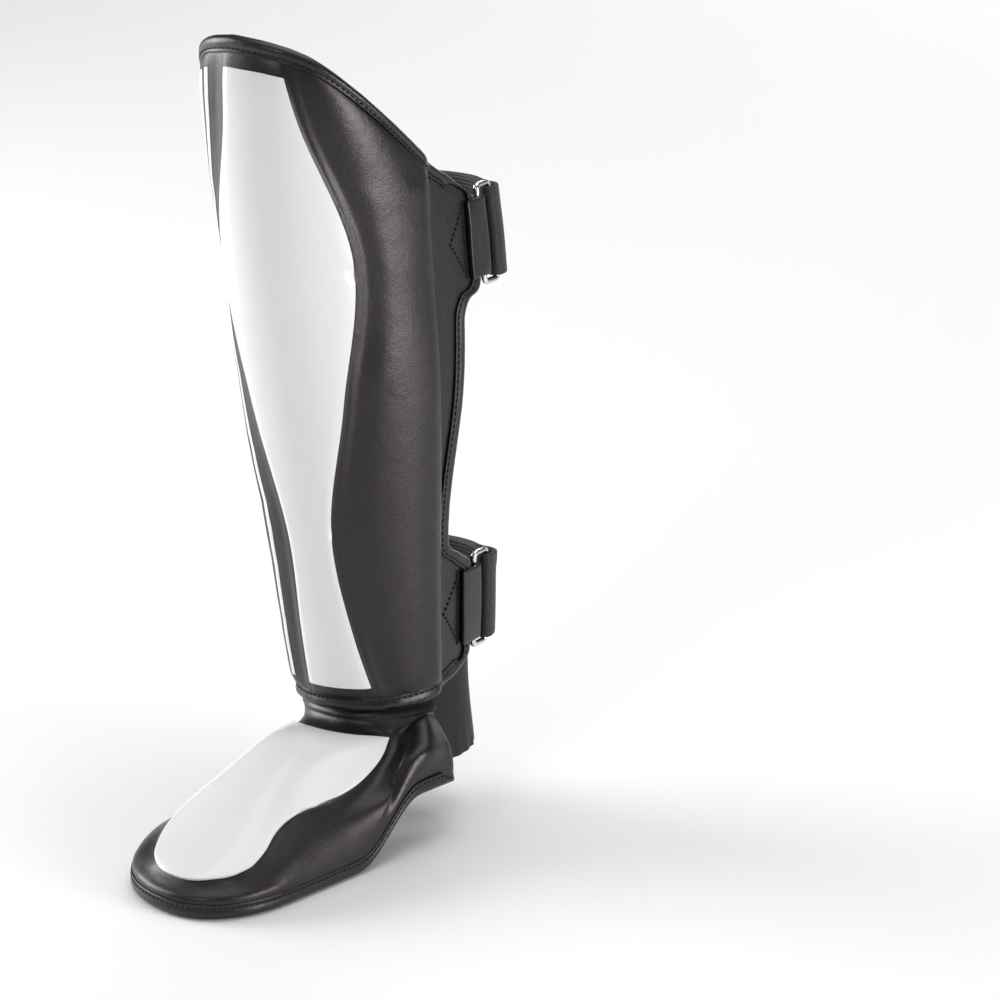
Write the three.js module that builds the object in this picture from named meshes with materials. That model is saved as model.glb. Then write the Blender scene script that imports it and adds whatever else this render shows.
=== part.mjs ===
// A padded shin and instep guard for kick boxing, the one for the wearer's right leg.
// Millimetres, +Z up. The toe points towards -Y, the buckles are on the +X side and the
// two stripes on the -X side. The guard stands on the rim of its instep pad.

import * as THREE from 'three';

// Driving dimensions

const SHIN_LENGTH = 383;          // front of the shin shell, from its hem to its peak
const HEM_HEIGHT = 76;            // front of the hem above the floor
const SHELL_WIDTH = 124;          // widest place of the shin shell, over the padding
const SHELL_DEPTH = 100;          // deepest place, from the shin ridge to the widest line
const FORWARD_LEAN = 39;          // how far the ridge comes forward above the hem
const SIDE_LEAN = 3.9;            // degrees that the shell tips outwards
const PAD_THICKNESS = 20;         // foam and leather over the shin
const FLANGE_THICKNESS = 4.4;     // bare leather layers past the foam
const REAR_STEP = 9;              // from the foam's face down to the flange's face
const REAR_SHOULDER = 13;         // width of the foam's rounded rear edge
const TOP_STEP = 7;
const TOP_SHOULDER = 26;
const HEM_STEP = 3;
const HEM_SHOULDER = 13;
const FOLD_LINE = 2;              // where the foam ends, behind the ankle's middle
const REAR_REACH = 24;            // flange behind the fold at its widest
const TOP_DROP = 105;             // from the peak down to the top strap's tab
const HEM_RISE = 14;              // the hem's rear corners above its front
const SIDE_CURL = 5;              // how far the flanges bend in round the calf
const CURL_LENGTH = 45;

const PANEL_WIDTH = 86;           // bulb-shaped white panel
const PANEL_THICKNESS = 1.4;
const PANEL_HEM_MARGIN = 13.5;
const PANEL_TOP_MARGIN = 14;
const PANEL_GROOVE = 2.5;         // the padding dips beside the panel
const GROOVE_WIDTH = 9;
const STRIPE_INSET = 17;          // from the panel's edge to the thin stripe
const THIN_STRIPE = 3.6;
const STRIPE_SPACING = 3.2;
const WIDE_STRIPE = 8;
const STRIPE_THICKNESS = 0.9;

const BINDING_WIDTH = 5;          // leather edge roll, across
const BINDING_THICKNESS = 5.4;

const STRAP_WIDTH = 50;
const STRAP_THICKNESS = 2.2;
const STRAP_FOLD_BACK = 62;       // length of the end that is turned back on the strap
const STRAP_SEAM = 22;            // length sewn down on the stripe side
const UPPER_STRAP_HEIGHT = 256;   // middle of the strap above the hem
const LOWER_STRAP_HEIGHT = 45;
const UPPER_TAB_REACH = 17;       // tab behind the flange's own edge
const LOWER_TAB_REACH = 22;       // the lower tab runs down into the hem's rear corner
const TAB_FLANK = 15;             // height over which the edge runs out into a tab
const UPPER_CALF_SPACE = 34;      // strap behind the buckle
const LOWER_CALF_SPACE = 24;
const RING_WIRE = 3.6;
const RING_SLOT = 12;             // between the middles of the ring's two bars
const LOOP_LEATHER = 1.8;         // leather folded round the ring
const LOOP_WIDTH = 44;
const LOOP_LEG = 8;               // how far the loop reaches over the tab

const FOOT_WIDTH = 114;
const TOE_REACH = 196;            // toe in front of the ankle's middle
const RIM_END = 6;                // rear ends of the rim, in front of it
const MEDIAL_TOE_ROUND = 55;      // length of the rounded toe on each side
const LATERAL_TOE_ROUND = 95;
const TOE_SKEW = 14;              // the toe's tip lies towards the buckle side
const FOOT_PAD_THICKNESS = 12;
const FOOT_RIM_THICKNESS = 6;
const TOE_EDGE_HEIGHT = 14;       // rolled edge of the padding above the rim
const TOE_EDGE_INSET = 3;
const INSTEP_HEIGHT = 71;         // crown of the instep in front of the ankle
const MEDIAL_ARCH = 32;           // rise of the rim under the inner ankle
const MEDIAL_ARCH_START = 86;     // where the rise begins and ends, before the ankle's middle
const MEDIAL_ARCH_END = 36;
const NECK_LENGTH = 10;           // leather of the instep pad that stands up to the hem
const UPRIGHT_REACH = 25;         // the pad's sides stand upright where the hem is this near the rim
const DOMED_REACH = 85;           // and it is domed where the hem is this far
const FOOT_PANEL_THICKNESS = 1.4;
const HEEL_BAND_WIDTH = 50;
const HEEL_BAND_THICKNESS = 2.4;
const HEEL_BAND_DROP = 29;        // its lower edge below the hem
const HEEL_SPACE = 51;            // its rear behind the ankle's middle
const HEEL_BAND_SPREAD = 9;       // each side wider at its lower edge
const HEEL_BAND_SEAM = 12;        // how far it reaches past the foam's end, up inside the hem

const SEAM_GAP = 0.3;             // between pieces that are sewn or laid together

// Sections of the shin shell from the hem up. Every length is a share of a size above:
// height of SHIN_LENGTH, half of SHELL_WIDTH, depth of SHELL_DEPTH, ridge of FORWARD_LEAN,
// flange of REAR_REACH, and the panel's two edges of PANEL_WIDTH from the ridge.
const SHIN_SECTIONS = [
  { at: 0.00, half: 0.78, depth: 0.525, ridge: 0.00, flange: 0.25, lateral: -0.065, medial: 0.425 },
  { at: 0.12, half: 0.84, depth: 0.630, ridge: 0.21, flange: 0.28, lateral: -0.025, medial: 0.355 },
  { at: 0.265, half: 0.90, depth: 0.746, ridge: 0.42, flange: 0.30, lateral: 0.016, medial: 0.322 },
  { at: 0.47, half: 1.00, depth: 0.967, ridge: 0.66, flange: 0.80, lateral: -0.150, medial: 0.528 },
  { at: 0.68, half: 0.99, depth: 1.000, ridge: 0.88, flange: 1.00, lateral: -0.286, medial: 0.717 },
  { at: 0.89, half: 0.99, depth: 0.849, ridge: 0.99, flange: 0.92, lateral: -0.063, medial: 0.456 },
  { at: 1.00, half: 1.07, depth: 0.790, ridge: 0.98, flange: 0.90, lateral: -0.040, medial: 0.348 },
];
const RIDGE_AT_HEM = -53;         // front of the shell at its hem
const SECTION_POWER = 2.2;        // roundness of the sections, 2 is an ellipse
const INSTEP_POWER = 2.5;

// The top edge, by distance round the shell from the ridge as a share of TOP_GIRTH,
// with its drop on either side as a share of TOP_DROP.
const TOP_GIRTH = 165;
const TOP_EDGE = [
  { at: 0.00, lateral: 0.00, medial: 0.00 },
  { at: 0.15, lateral: 0.03, medial: 0.03 },
  { at: 0.30, lateral: 0.13, medial: 0.11 },
  { at: 0.45, lateral: 0.25, medial: 0.29 },
  { at: 0.60, lateral: 0.44, medial: 0.51 },
  { at: 0.75, lateral: 0.74, medial: 0.74 },
  { at: 0.90, lateral: 0.92, medial: 0.90 },
  { at: 1.00, lateral: 1.00, medial: 1.00 },
];

// Crown of the instep pad, by distance in front of the ankle's middle as a share of
// TOE_REACH, with its height as a share of INSTEP_HEIGHT.
const INSTEP_CROWN = [
  { at: 0.27, height: 1.00 },
  { at: 0.40, height: 0.92 },
  { at: 0.55, height: 0.77 },
  { at: 0.65, height: 0.66 },
  { at: 0.75, height: 0.52 },
  { at: 0.85, height: 0.38 },
  { at: 0.93, height: 0.29 },
  { at: 1.00, height: 0.22 },
];

// The white instep panel from the toe to the ankle: across as a share of FOOT_WIDTH
const FOOT_PANEL = [
  { at: 0.00, lateral: 0.12, medial: 0.22 },
  { at: 0.08, lateral: 0.21, medial: 0.33 },
  { at: 0.18, lateral: 0.28, medial: 0.375 },
  { at: 0.30, lateral: 0.305, medial: 0.365 },
  { at: 0.50, lateral: 0.285, medial: 0.335 },
  { at: 0.70, lateral: 0.285, medial: 0.325 },
  { at: 0.88, lateral: 0.30, medial: 0.285 },
  { at: 1.00, lateral: 0.29, medial: 0.24 },
];
const FOOT_PANEL_START = 0.24;    // shares of the way up the instep pad
const FOOT_PANEL_END = 0.78;

const COLOURS = { leather: 0x2c2928, white: 0xdfe1e3, print: 0xf2f2f2, elastic: 0x232122, steel: 0xb9bcc0 };

const radians = THREE.MathUtils.degToRad;
const clamp = THREE.MathUtils.clamp;
const smooth = (share) => THREE.MathUtils.smoothstep(share, 0, 1);
const roundedStep = (share) => Math.sqrt(1 - (1 - clamp(share, 0, 1)) ** 2);

// Smooth curve through one column of a table
function column(table, name, at) {
  const x = clamp(at, table[0].at, table[table.length - 1].at);
  let i = table.findIndex((row) => row.at > x) - 1;
  if (i < 0) i = table.length - 2;
  const slope = (k) => (table[k + 1][name] - table[k][name]) / (table[k + 1].at - table[k].at);
  const tangent = (k) => {
    if (k === 0) return slope(0);
    if (k === table.length - 1) return slope(k - 1);
    const before = table[k].at - table[k - 1].at;
    const after = table[k + 1].at - table[k].at;
    return (slope(k - 1) * after + slope(k) * before) / (before + after);
  };
  const span = table[i + 1].at - table[i].at;
  const t = (x - table[i].at) / span;
  const a = (1 + 2 * t) * (1 - t) ** 2;
  const b = t * (1 - t) ** 2;
  const c = t * t * (3 - 2 * t);
  const d = t * t * (t - 1);
  return a * table[i][name] + b * span * tangent(i) + c * table[i + 1][name] + d * span * tangent(i + 1);
}

// Solids

function closedGeometry(points, faces) {
  const geometry = new THREE.BufferGeometry();
  geometry.setAttribute('position', new THREE.Float32BufferAttribute(points.flatMap((p) => [p.x, p.y, p.z]), 3));
  let volume = 0;
  const cross = new THREE.Vector3();
  for (const [a, b, c] of faces) volume += points[a].dot(cross.crossVectors(points[b], points[c]));
  geometry.setIndex(volume > 0 ? faces.flat() : faces.map(([a, b, c]) => [a, c, b]).flat());
  geometry.computeVertexNormals();
  return geometry;
}

// A curved wall: a grid of points on its face and one on its back, closed along its edges
function wallGeometry(face, back) {
  const rows = face.length;
  const columns = face[0].length;
  const points = [...face.flat(), ...back.flat()];
  const f = (r, c) => r * columns + c;
  const k = (r, c) => rows * columns + r * columns + c;
  const faces = [];
  const quad = (a, b, c, d) => faces.push([a, b, c], [a, c, d]);
  for (let r = 0; r + 1 < rows; r += 1) {
    for (let c = 0; c + 1 < columns; c += 1) {
      quad(f(r, c), f(r, c + 1), f(r + 1, c + 1), f(r + 1, c));
      quad(k(r, c), k(r + 1, c), k(r + 1, c + 1), k(r, c + 1));
    }
    quad(f(r, 0), f(r + 1, 0), k(r + 1, 0), k(r, 0));
    quad(f(r + 1, columns - 1), f(r, columns - 1), k(r, columns - 1), k(r + 1, columns - 1));
  }
  for (let c = 0; c + 1 < columns; c += 1) {
    quad(f(0, c + 1), f(0, c), k(0, c), k(0, c + 1));
    quad(f(rows - 1, c), f(rows - 1, c + 1), k(rows - 1, c + 1), k(rows - 1, c));
  }
  return closedGeometry(points, faces);
}

// A bar through a list of rings of points, closed into a loop or capped at both ends
function barGeometry(rings, isLoop) {
  const sides = rings[0].length;
  const points = rings.flat();
  const faces = [];
  const last = isLoop ? rings.length : rings.length - 1;
  for (let r = 0; r < last; r += 1) {
    const next = (r + 1) % rings.length;
    for (let s = 0; s < sides; s += 1) {
      const t = (s + 1) % sides;
      faces.push([r * sides + s, r * sides + t, next * sides + t], [r * sides + s, next * sides + t, next * sides + s]);
    }
  }
  if (!isLoop) {
    const end = (rings.length - 1) * sides;
    for (let s = 1; s + 1 < sides; s += 1) {
      faces.push([0, s + 1, s], [end, end + s, end + s + 1]);
    }
  }
  return closedGeometry(points, faces);
}

// A flat strip that stands on edge and follows one path along its lower and one along its upper edge
function stripGeometry(lowPath, highPath, thickness) {
  const sideOf = (path, offset) => path.map((point, i) => {
    const along = path[Math.min(i + 1, path.length - 1)].clone().sub(path[Math.max(i - 1, 0)]).normalize();
    return new THREE.Vector3(point.x + along.y * offset, point.y - along.x * offset, point.z);
  });
  const wall = (offset) => [sideOf(lowPath, offset), sideOf(highPath, offset)];
  return wallGeometry(wall(thickness / 2), wall(-thickness / 2));
}

function leather(name, geometry, colour, roughness, metalness = 0) {
  const material = new THREE.MeshStandardMaterial({ color: colour, roughness, metalness });
  const mesh = new THREE.Mesh(geometry, material);
  mesh.name = name;
  return mesh;
}

// Shin shell

const shareUp = (z) => (z - HEM_HEIGHT) / SHIN_LENGTH;
const SECTION_STEPS = 24;
const SECTION_TAIL = 12;

// Half a section in plan from the ridge to behind the calf, with its length so far
function shinSection(z) {
  const at = shareUp(z);
  const half = (SHELL_WIDTH / 2) * column(SHIN_SECTIONS, 'half', at);
  const depth = SHELL_DEPTH * column(SHIN_SECTIONS, 'depth', at);
  const ridge = RIDGE_AT_HEM - FORWARD_LEAN * column(SHIN_SECTIONS, 'ridge', at);
  const widest = ridge + depth;
  const points = [];
  for (let i = 0; i <= SECTION_STEPS; i += 1) {
    const turn = (Math.PI / 2) * (i / SECTION_STEPS);
    const across = half * Math.sin(turn) ** (2 / SECTION_POWER);
    points.push(new THREE.Vector2(across, widest - depth * Math.cos(turn) ** (2 / SECTION_POWER)));
  }
  const tail = 2 * CURL_LENGTH;
  for (let i = 1; i <= SECTION_TAIL; i += 1) {
    const behind = (tail * i) / SECTION_TAIL;
    points.push(new THREE.Vector2(half - SIDE_CURL * (behind / CURL_LENGTH) ** 2, widest + behind));
  }
  const lengths = [0];
  for (let i = 1; i < points.length; i += 1) lengths.push(lengths[i - 1] + points[i].distanceTo(points[i - 1]));
  return { points, lengths };
}

function alongSection({ points, lengths }, distance) {
  let i = lengths.findIndex((length) => length > distance) - 1;
  if (i < 0) i = distance > 0 ? lengths.length - 2 : 0;
  const share = (distance - lengths[i]) / (lengths[i + 1] - lengths[i]);
  return {
    point: points[i].clone().lerp(points[i + 1], share),
    along: points[i + 1].clone().sub(points[i]).normalize(),
  };
}

// Distance round the section at which it reaches a place front to back
function distanceAt({ points, lengths }, y) {
  const i = Math.max(points.findIndex((point) => point.y > y) - 1, 0);
  return lengths[i] + (lengths[i + 1] - lengths[i]) * ((y - points[i].y) / (points[i + 1].y - points[i].y));
}

// A point of the shell: distance round it, plus on the medial side, and height; offset outwards
function shinPoint(distance, z, offset = 0) {
  const side = distance < 0 ? -1 : 1;
  const { point, along } = alongSection(shinSection(z), Math.abs(distance));
  return new THREE.Vector3(side * (point.x + along.y * offset), point.y - along.x * offset, z);
}

// The flange's rear edge with its two tabs
function rearEdge(z) {
  const height = z - HEM_HEIGHT;
  const half = STRAP_WIDTH / 2;
  const upper = 1 - smooth((Math.abs(height - UPPER_STRAP_HEIGHT) - half) / TAB_FLANK);
  const lower = 1 - smooth((height - LOWER_STRAP_HEIGHT - half) / TAB_FLANK);
  const flange = REAR_REACH * column(SHIN_SECTIONS, 'flange', shareUp(z));
  return FOLD_LINE + flange + UPPER_TAB_REACH * upper + LOWER_TAB_REACH * lower;
}

function topHeight(distance) {
  const side = distance < 0 ? 'lateral' : 'medial';
  return HEM_HEIGHT + SHIN_LENGTH - TOP_DROP * column(TOP_EDGE, side, Math.abs(distance) / TOP_GIRTH);
}

function hemHeight(distance) {
  const section = shinSection(HEM_HEIGHT);
  const corner = distanceAt(section, rearEdge(HEM_HEIGHT + HEM_RISE));
  return HEM_HEIGHT + HEM_RISE * clamp(Math.abs(distance) / corner, 0, 1.2) ** 5;
}

// The lines that run up the shell, from the stripe side's rear edge to the buckle side's:
// the first line of a lane, then how many steps the lane has.
function shinLanes(z) {
  const section = shinSection(z);
  const fold = distanceAt(section, FOLD_LINE);
  const edge = distanceAt(section, rearEdge(z));
  const lateral = PANEL_WIDTH * column(SHIN_SECTIONS, 'lateral', shareUp(z));
  const medial = PANEL_WIDTH * column(SHIN_SECTIONS, 'medial', shareUp(z));
  const thin = lateral - STRIPE_INSET;
  const wide = thin - THIN_STRIPE - STRIPE_SPACING;
  return [
    { line: -edge, steps: 2 },
    { line: -fold, steps: 3 },
    { line: -fold + REAR_SHOULDER, steps: 4 },
    { line: wide - WIDE_STRIPE, steps: 1, name: 'wide' },
    { line: wide, steps: 1 },
    { line: thin - THIN_STRIPE, steps: 1, name: 'thin' },
    { line: thin, steps: 1 },
    { line: lateral - GROOVE_WIDTH, steps: 1 },
    { line: lateral, steps: 5, name: 'panel' },
    { line: medial, steps: 1 },
    { line: medial + GROOVE_WIDTH, steps: 4 },
    { line: fold - REAR_SHOULDER, steps: 3 },
    { line: fold, steps: 2 },
    { line: edge, steps: 0 },
  ];
}

function shinColumns(z) {
  const lanes = shinLanes(z);
  const distances = [];
  lanes.forEach((lane, i) => {
    for (let k = 0; k < Math.max(lane.steps, 1); k += 1) {
      const next = lanes[Math.min(i + 1, lanes.length - 1)];
      distances.push(THREE.MathUtils.lerp(lane.line, next.line, lane.steps ? k / lane.steps : 0));
    }
  });
  return distances;
}

// First and last column of a named lane
function laneColumns(name) {
  const lanes = shinLanes(HEM_HEIGHT);
  let first = 0;
  for (const lane of lanes) {
    if (lane.name === name) return [first, first + lane.steps];
    first += lane.steps;
  }
  throw new Error(`no lane called ${name}`);
}

const SHIN_ROWS = 24;
const panelLow = PANEL_HEM_MARGIN / SHIN_LENGTH;
const panelHigh = 1 - PANEL_TOP_MARGIN / SHIN_LENGTH;

// Shares of the way up at which the shell's rows lie: close at both ends, even between
const shinRowShares = [0, panelLow / 3];
for (let i = 0; i <= SHIN_ROWS; i += 1) {
  shinRowShares.push(THREE.MathUtils.lerp(panelLow, panelHigh, i / SHIN_ROWS));
}
shinRowShares.push((1 + panelHigh) / 2, 1);
const PANEL_FIRST_ROW = 2;
const PANEL_LAST_ROW = PANEL_FIRST_ROW + SHIN_ROWS;

// Where the shell's face and back lie, measured outwards from its sections
function shinOffsets(distance, z) {
  const lanes = shinLanes(z).map((lane) => lane.line);
  const fold = Math.abs(distance < 0 ? lanes[1] : lanes[12]);
  const rear = roundedStep((fold - Math.abs(distance)) / REAR_SHOULDER);
  const top = roundedStep((topHeight(distance) - z) / TOP_SHOULDER);
  const hem = roundedStep((z - hemHeight(distance)) / HEM_SHOULDER);
  const steps = [REAR_STEP * (1 - rear), TOP_STEP * (1 - top), HEM_STEP * (1 - hem)];
  const panelSide = distance < lanes[8] ? lanes[8] - distance : distance - lanes[9];
  const dip = PANEL_GROOVE * smooth(panelSide / GROOVE_WIDTH) * (1 - smooth((panelSide - GROOVE_WIDTH) / REAR_SHOULDER));
  const foam = Math.min(rear, top, hem);
  const face = -Math.max(...steps) - (panelSide > 0 ? dip * foam : 0);
  const thickness = THREE.MathUtils.lerp(FLANGE_THICKNESS, PAD_THICKNESS, foam);
  return { face, back: face - thickness };
}

// Place of a grid point: its column's distance round and its height
function shinPlace(share, columnIndex) {
  let z = HEM_HEIGHT + share * SHIN_LENGTH;
  let distance = 0;
  for (let i = 0; i < 8; i += 1) {
    distance = shinColumns(z)[columnIndex];
    z = THREE.MathUtils.lerp(hemHeight(distance), topHeight(distance), share);
  }
  return { distance, z };
}

const shinGrid = shinRowShares.map((share) => shinColumns(HEM_HEIGHT).map((_, c) => {
  const { distance, z } = shinPlace(share, c);
  const { face, back } = shinOffsets(distance, z);
  return { distance, z, face: shinPoint(distance, z, face), back: shinPoint(distance, z, back), offset: face };
}));

function shinPad() {
  const face = shinGrid.map((row) => row.map((cell) => cell.face));
  const back = shinGrid.map((row) => row.map((cell) => cell.back));
  return leather('shin_pad', wallGeometry(face, back), COLOURS.leather, 0.45);
}

// A skin laid on the shell's face over one named lane
function shinSkin(name, laneName, firstRow, lastRow, thickness, colour) {
  const [first, last] = laneColumns(laneName);
  const lay = (extra) => shinGrid.slice(firstRow, lastRow + 1)
    .map((row) => row.slice(first, last + 1)
      .map((cell) => shinPoint(cell.distance, cell.z, cell.offset + SEAM_GAP + extra)));
  return leather(name, wallGeometry(lay(thickness), lay(0)), colour, 0.25);
}

// Edge roll: six sides round a bar that lies just past the wall's edge
function rollRing(edgeFace, edgeBack, inner) {
  const middle = edgeFace.clone().lerp(edgeBack, 0.5);
  const across = edgeFace.clone().sub(edgeBack).normalize();
  const out = middle.clone().sub(inner);
  out.addScaledVector(across, -out.dot(across)).normalize();
  const centre = middle.addScaledVector(out, 2 * SEAM_GAP + BINDING_WIDTH / 2);
  const section = [[-1, -0.7], [0.3, -1], [1, -0.4], [1, 0.4], [0.3, 1], [-1, 0.7]];
  return section.map(([o, a]) => centre.clone()
    .addScaledVector(out, o * (BINDING_WIDTH / 2))
    .addScaledVector(across, a * (BINDING_THICKNESS / 2)));
}

function shinBinding() {
  const rows = shinGrid.length;
  const columns = shinGrid[0].length;
  const loop = [];
  const add = (r, c, ri, ci) => loop.push([shinGrid[r][c], shinGrid[ri][ci]]);
  for (let c = 1; c < columns - 1; c += 1) add(0, c, 1, c);
  for (let r = 0; r < rows; r += 1) add(r, columns - 1, clamp(r, 1, rows - 2), columns - 2);
  for (let c = columns - 2; c > 0; c -= 1) add(rows - 1, c, rows - 2, c);
  for (let r = rows - 1; r >= 0; r -= 1) add(r, 0, clamp(r, 1, rows - 2), 1);
  const rings = loop.map(([edge, inner]) => rollRing(edge.face, edge.back, inner.face.clone().lerp(inner.back, 0.5)));
  return leather('shin_binding', barGeometry(rings, true), COLOURS.leather, 0.4);
}

// Buckles and straps

// A tab's rear end on one side at one height: its place in plan, its way back and outwards
function tabFrame(tab, side, z) {
  const edge = rearEdge(HEM_HEIGHT + tab);
  const section = shinSection(z);
  const offset = -REAR_STEP - FLANGE_THICKNESS / 2;
  const middle = shinPoint(side * distanceAt(section, edge), z, offset);
  const before = shinPoint(side * distanceAt(section, edge - 1), z, offset);
  const back = middle.clone().sub(before).normalize();
  return { origin: middle, back, out: new THREE.Vector3(side * back.y, -side * back.x, 0) };
}

const inTab = (frame, along, outward) => frame.origin.clone()
  .addScaledVector(frame.back, along)
  .addScaledVector(frame.out, outward);

const loopInside = BINDING_THICKNESS / 2 + 2 * SEAM_GAP;
const ringFront = 3 * SEAM_GAP + BINDING_WIDTH + RING_WIRE / 2;
const loopEnd = ringFront + RING_WIRE / 2 + SEAM_GAP - loopInside;
const ringRear = ringFront + RING_SLOT;

// Leather folded round the ring's front bar, with a leg on each face of the tab
function ringLoop(name, tab) {
  const turns = 10;
  const pathAt = (z) => {
    const frame = tabFrame(tab, 1, z);
    const radius = loopInside + LOOP_LEATHER / 2;
    const path = [inTab(frame, -LOOP_LEG, radius)];
    for (let i = 0; i <= turns; i += 1) {
      const turn = Math.PI * (i / turns);
      path.push(inTab(frame, loopEnd + radius * Math.sin(turn), radius * Math.cos(turn)));
    }
    path.push(inTab(frame, -LOOP_LEG, -radius));
    return path;
  };
  const middle = HEM_HEIGHT + tab;
  const low = pathAt(middle - LOOP_WIDTH / 2);
  const high = pathAt(middle + LOOP_WIDTH / 2);
  return leather(name, stripGeometry(low, high, LOOP_LEATHER), COLOURS.leather, 0.45);
}

// Steel wire bent to a rectangle with round corners, lying in line with the tab
function ring(name, tab) {
  const middle = HEM_HEIGHT + tab;
  const tall = STRAP_WIDTH / 2 + RING_WIRE / 2 + 2 * SEAM_GAP;
  const corner = 0.7 * RING_WIRE;
  const wireSides = 6;
  const cornerSteps = 3;
  const corners = [[ringFront + corner, -1], [ringRear - corner, -1], [ringRear - corner, 1], [ringFront + corner, 1]];
  const circles = [];
  corners.forEach(([centre, up], k) => {
    for (let i = 0; i <= cornerSteps; i += 1) {
      const turn = Math.PI * (1 + k / 2 + i / (2 * cornerSteps));
      const circle = [];
      for (let s = 0; s < wireSides; s += 1) {
        const angle = (2 * Math.PI * s) / wireSides;
        const reach = corner + (RING_WIRE / 2) * Math.cos(angle);
        const z = middle + up * (tall - corner) + reach * Math.sin(turn);
        const along = centre + reach * Math.cos(turn);
        circle.push(inTab(tabFrame(tab, 1, z), along, (RING_WIRE / 2) * Math.sin(angle)));
      }
      circles.push(circle);
    }
  });
  return leather(name, barGeometry(circles, true), COLOURS.steel, 0.2, 1);
}

// A strap, sewn on the stripe side's tab, round the calf, through the ring and back on itself
function strap(name, tab, calfSpace) {
  const wrap = RING_WIRE / 2 + 2 * SEAM_GAP + STRAP_THICKNESS / 2;
  const sewnOut = BINDING_THICKNESS / 2 + 2 * SEAM_GAP + STRAP_THICKNESS / 2;
  const layer = STRAP_THICKNESS + SEAM_GAP;
  const insideSteps = 30;
  const wrapSteps = 6;
  const foldedSteps = 9;
  const pathAt = (z) => {
    const buckle = tabFrame(tab, 1, z);
    const sewn = tabFrame(tab, -1, z);
    const bar = inTab(buckle, ringRear, 0);
    const rear = bar.y + calfSpace / 2;
    const behind = (across, forward) => new THREE.Vector3(across * bar.x, rear - forward * calfSpace, z);
    const curve = new THREE.CatmullRomCurve3([
      inTab(sewn, -STRAP_SEAM, sewnOut),
      inTab(sewn, 0, sewnOut),
      inTab(sewn, ringFront, sewnOut),
      behind(-0.80, 0.28),
      behind(-0.35, 0),
      behind(0.28, 0),
      behind(0.72, 0.26),
      inTab(buckle, ringRear + wrap, -wrap),
      inTab(buckle, ringRear, -wrap),
    ], false, 'centripetal');
    const path = curve.getSpacedPoints(insideSteps);
    for (let i = 1; i <= wrapSteps; i += 1) {
      const turn = Math.PI * (i / wrapSteps);
      path.push(inTab(buckle, ringRear - wrap * Math.sin(turn), -wrap * Math.cos(turn)));
    }
    const length = curve.getLength();
    for (let k = 1; k <= foldedSteps; k += 1) {
      const back = (STRAP_FOLD_BACK * k) / foldedSteps;
      const share = 1 - back / length;
      const along = curve.getTangentAt(share);
      const apart = THREE.MathUtils.lerp(2 * wrap, layer, smooth((back - wrap) / (4 * wrap)));
      path.push(curve.getPointAt(share).add(new THREE.Vector3(-along.y, along.x, 0).multiplyScalar(apart)));
    }
    return path;
  };
  const middle = HEM_HEIGHT + tab;
  const low = pathAt(middle - STRAP_WIDTH / 2);
  const high = pathAt(middle + STRAP_WIDTH / 2);
  return leather(name, stripGeometry(low, high, STRAP_THICKNESS), COLOURS.elastic, 0.7);
}

// Instep pad

const lean = new THREE.Matrix4().makeRotationY(-radians(SIDE_LEAN));
const leaned = (point) => point.clone().applyMatrix4(lean);

// The rim in plan: turn is -1 at the stripe side's rear end, 0 at the toe's tip and 1 at the
// buckle side's rear end.
function rimPoint(turn) {
  const side = turn < 0 ? -1 : 1;
  const toeRound = side > 0 ? MEDIAL_TOE_ROUND : LATERAL_TOE_ROUND;
  const straight = TOE_REACH - RIM_END - toeRound;
  const round = toeRound + FOOT_WIDTH / 4;
  const distance = (1 - Math.abs(turn)) * (straight + round);
  const half = (side * FOOT_WIDTH) / 2;
  if (distance < straight) return new THREE.Vector2(half, -RIM_END - distance);
  const angle = ((distance - straight) / round) * (Math.PI / 2);
  const across = Math.cos(angle) ** (2 / SECTION_POWER);
  const forward = Math.sin(angle) ** (2 / SECTION_POWER);
  return new THREE.Vector2(THREE.MathUtils.lerp(TOE_SKEW, half, across), -RIM_END - straight - toeRound * forward);
}

// The rim stays on the floor but for the arch under the inner ankle
const rimLift = (side, y) => (side > 0
  ? MEDIAL_ARCH * smooth((y + MEDIAL_ARCH_START) / (MEDIAL_ARCH_START - MEDIAL_ARCH_END))
  : 0);

// Height of the instep pad's face over a place in plan
function instepHeight(x, y) {
  const forward = clamp(-y / TOE_REACH, 0, 1);
  const crown = INSTEP_HEIGHT * column(INSTEP_CROWN, 'height', forward);
  const across = Math.abs(x - TOE_SKEW * forward ** 2) / (FOOT_WIDTH / 2);
  return TOE_EDGE_HEIGHT + (crown - TOE_EDGE_HEIGHT) * (1 - Math.min(across, 1) ** INSTEP_POWER);
}

const neckDistance = distanceAt(shinSection(HEM_HEIGHT), -RIM_END / 2);
const neckIn = -HEM_STEP - FLANGE_THICKNESS / 2 - BINDING_THICKNESS / 2 - 4 * SEAM_GAP;
const FOOT_SPANS = 6;

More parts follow.
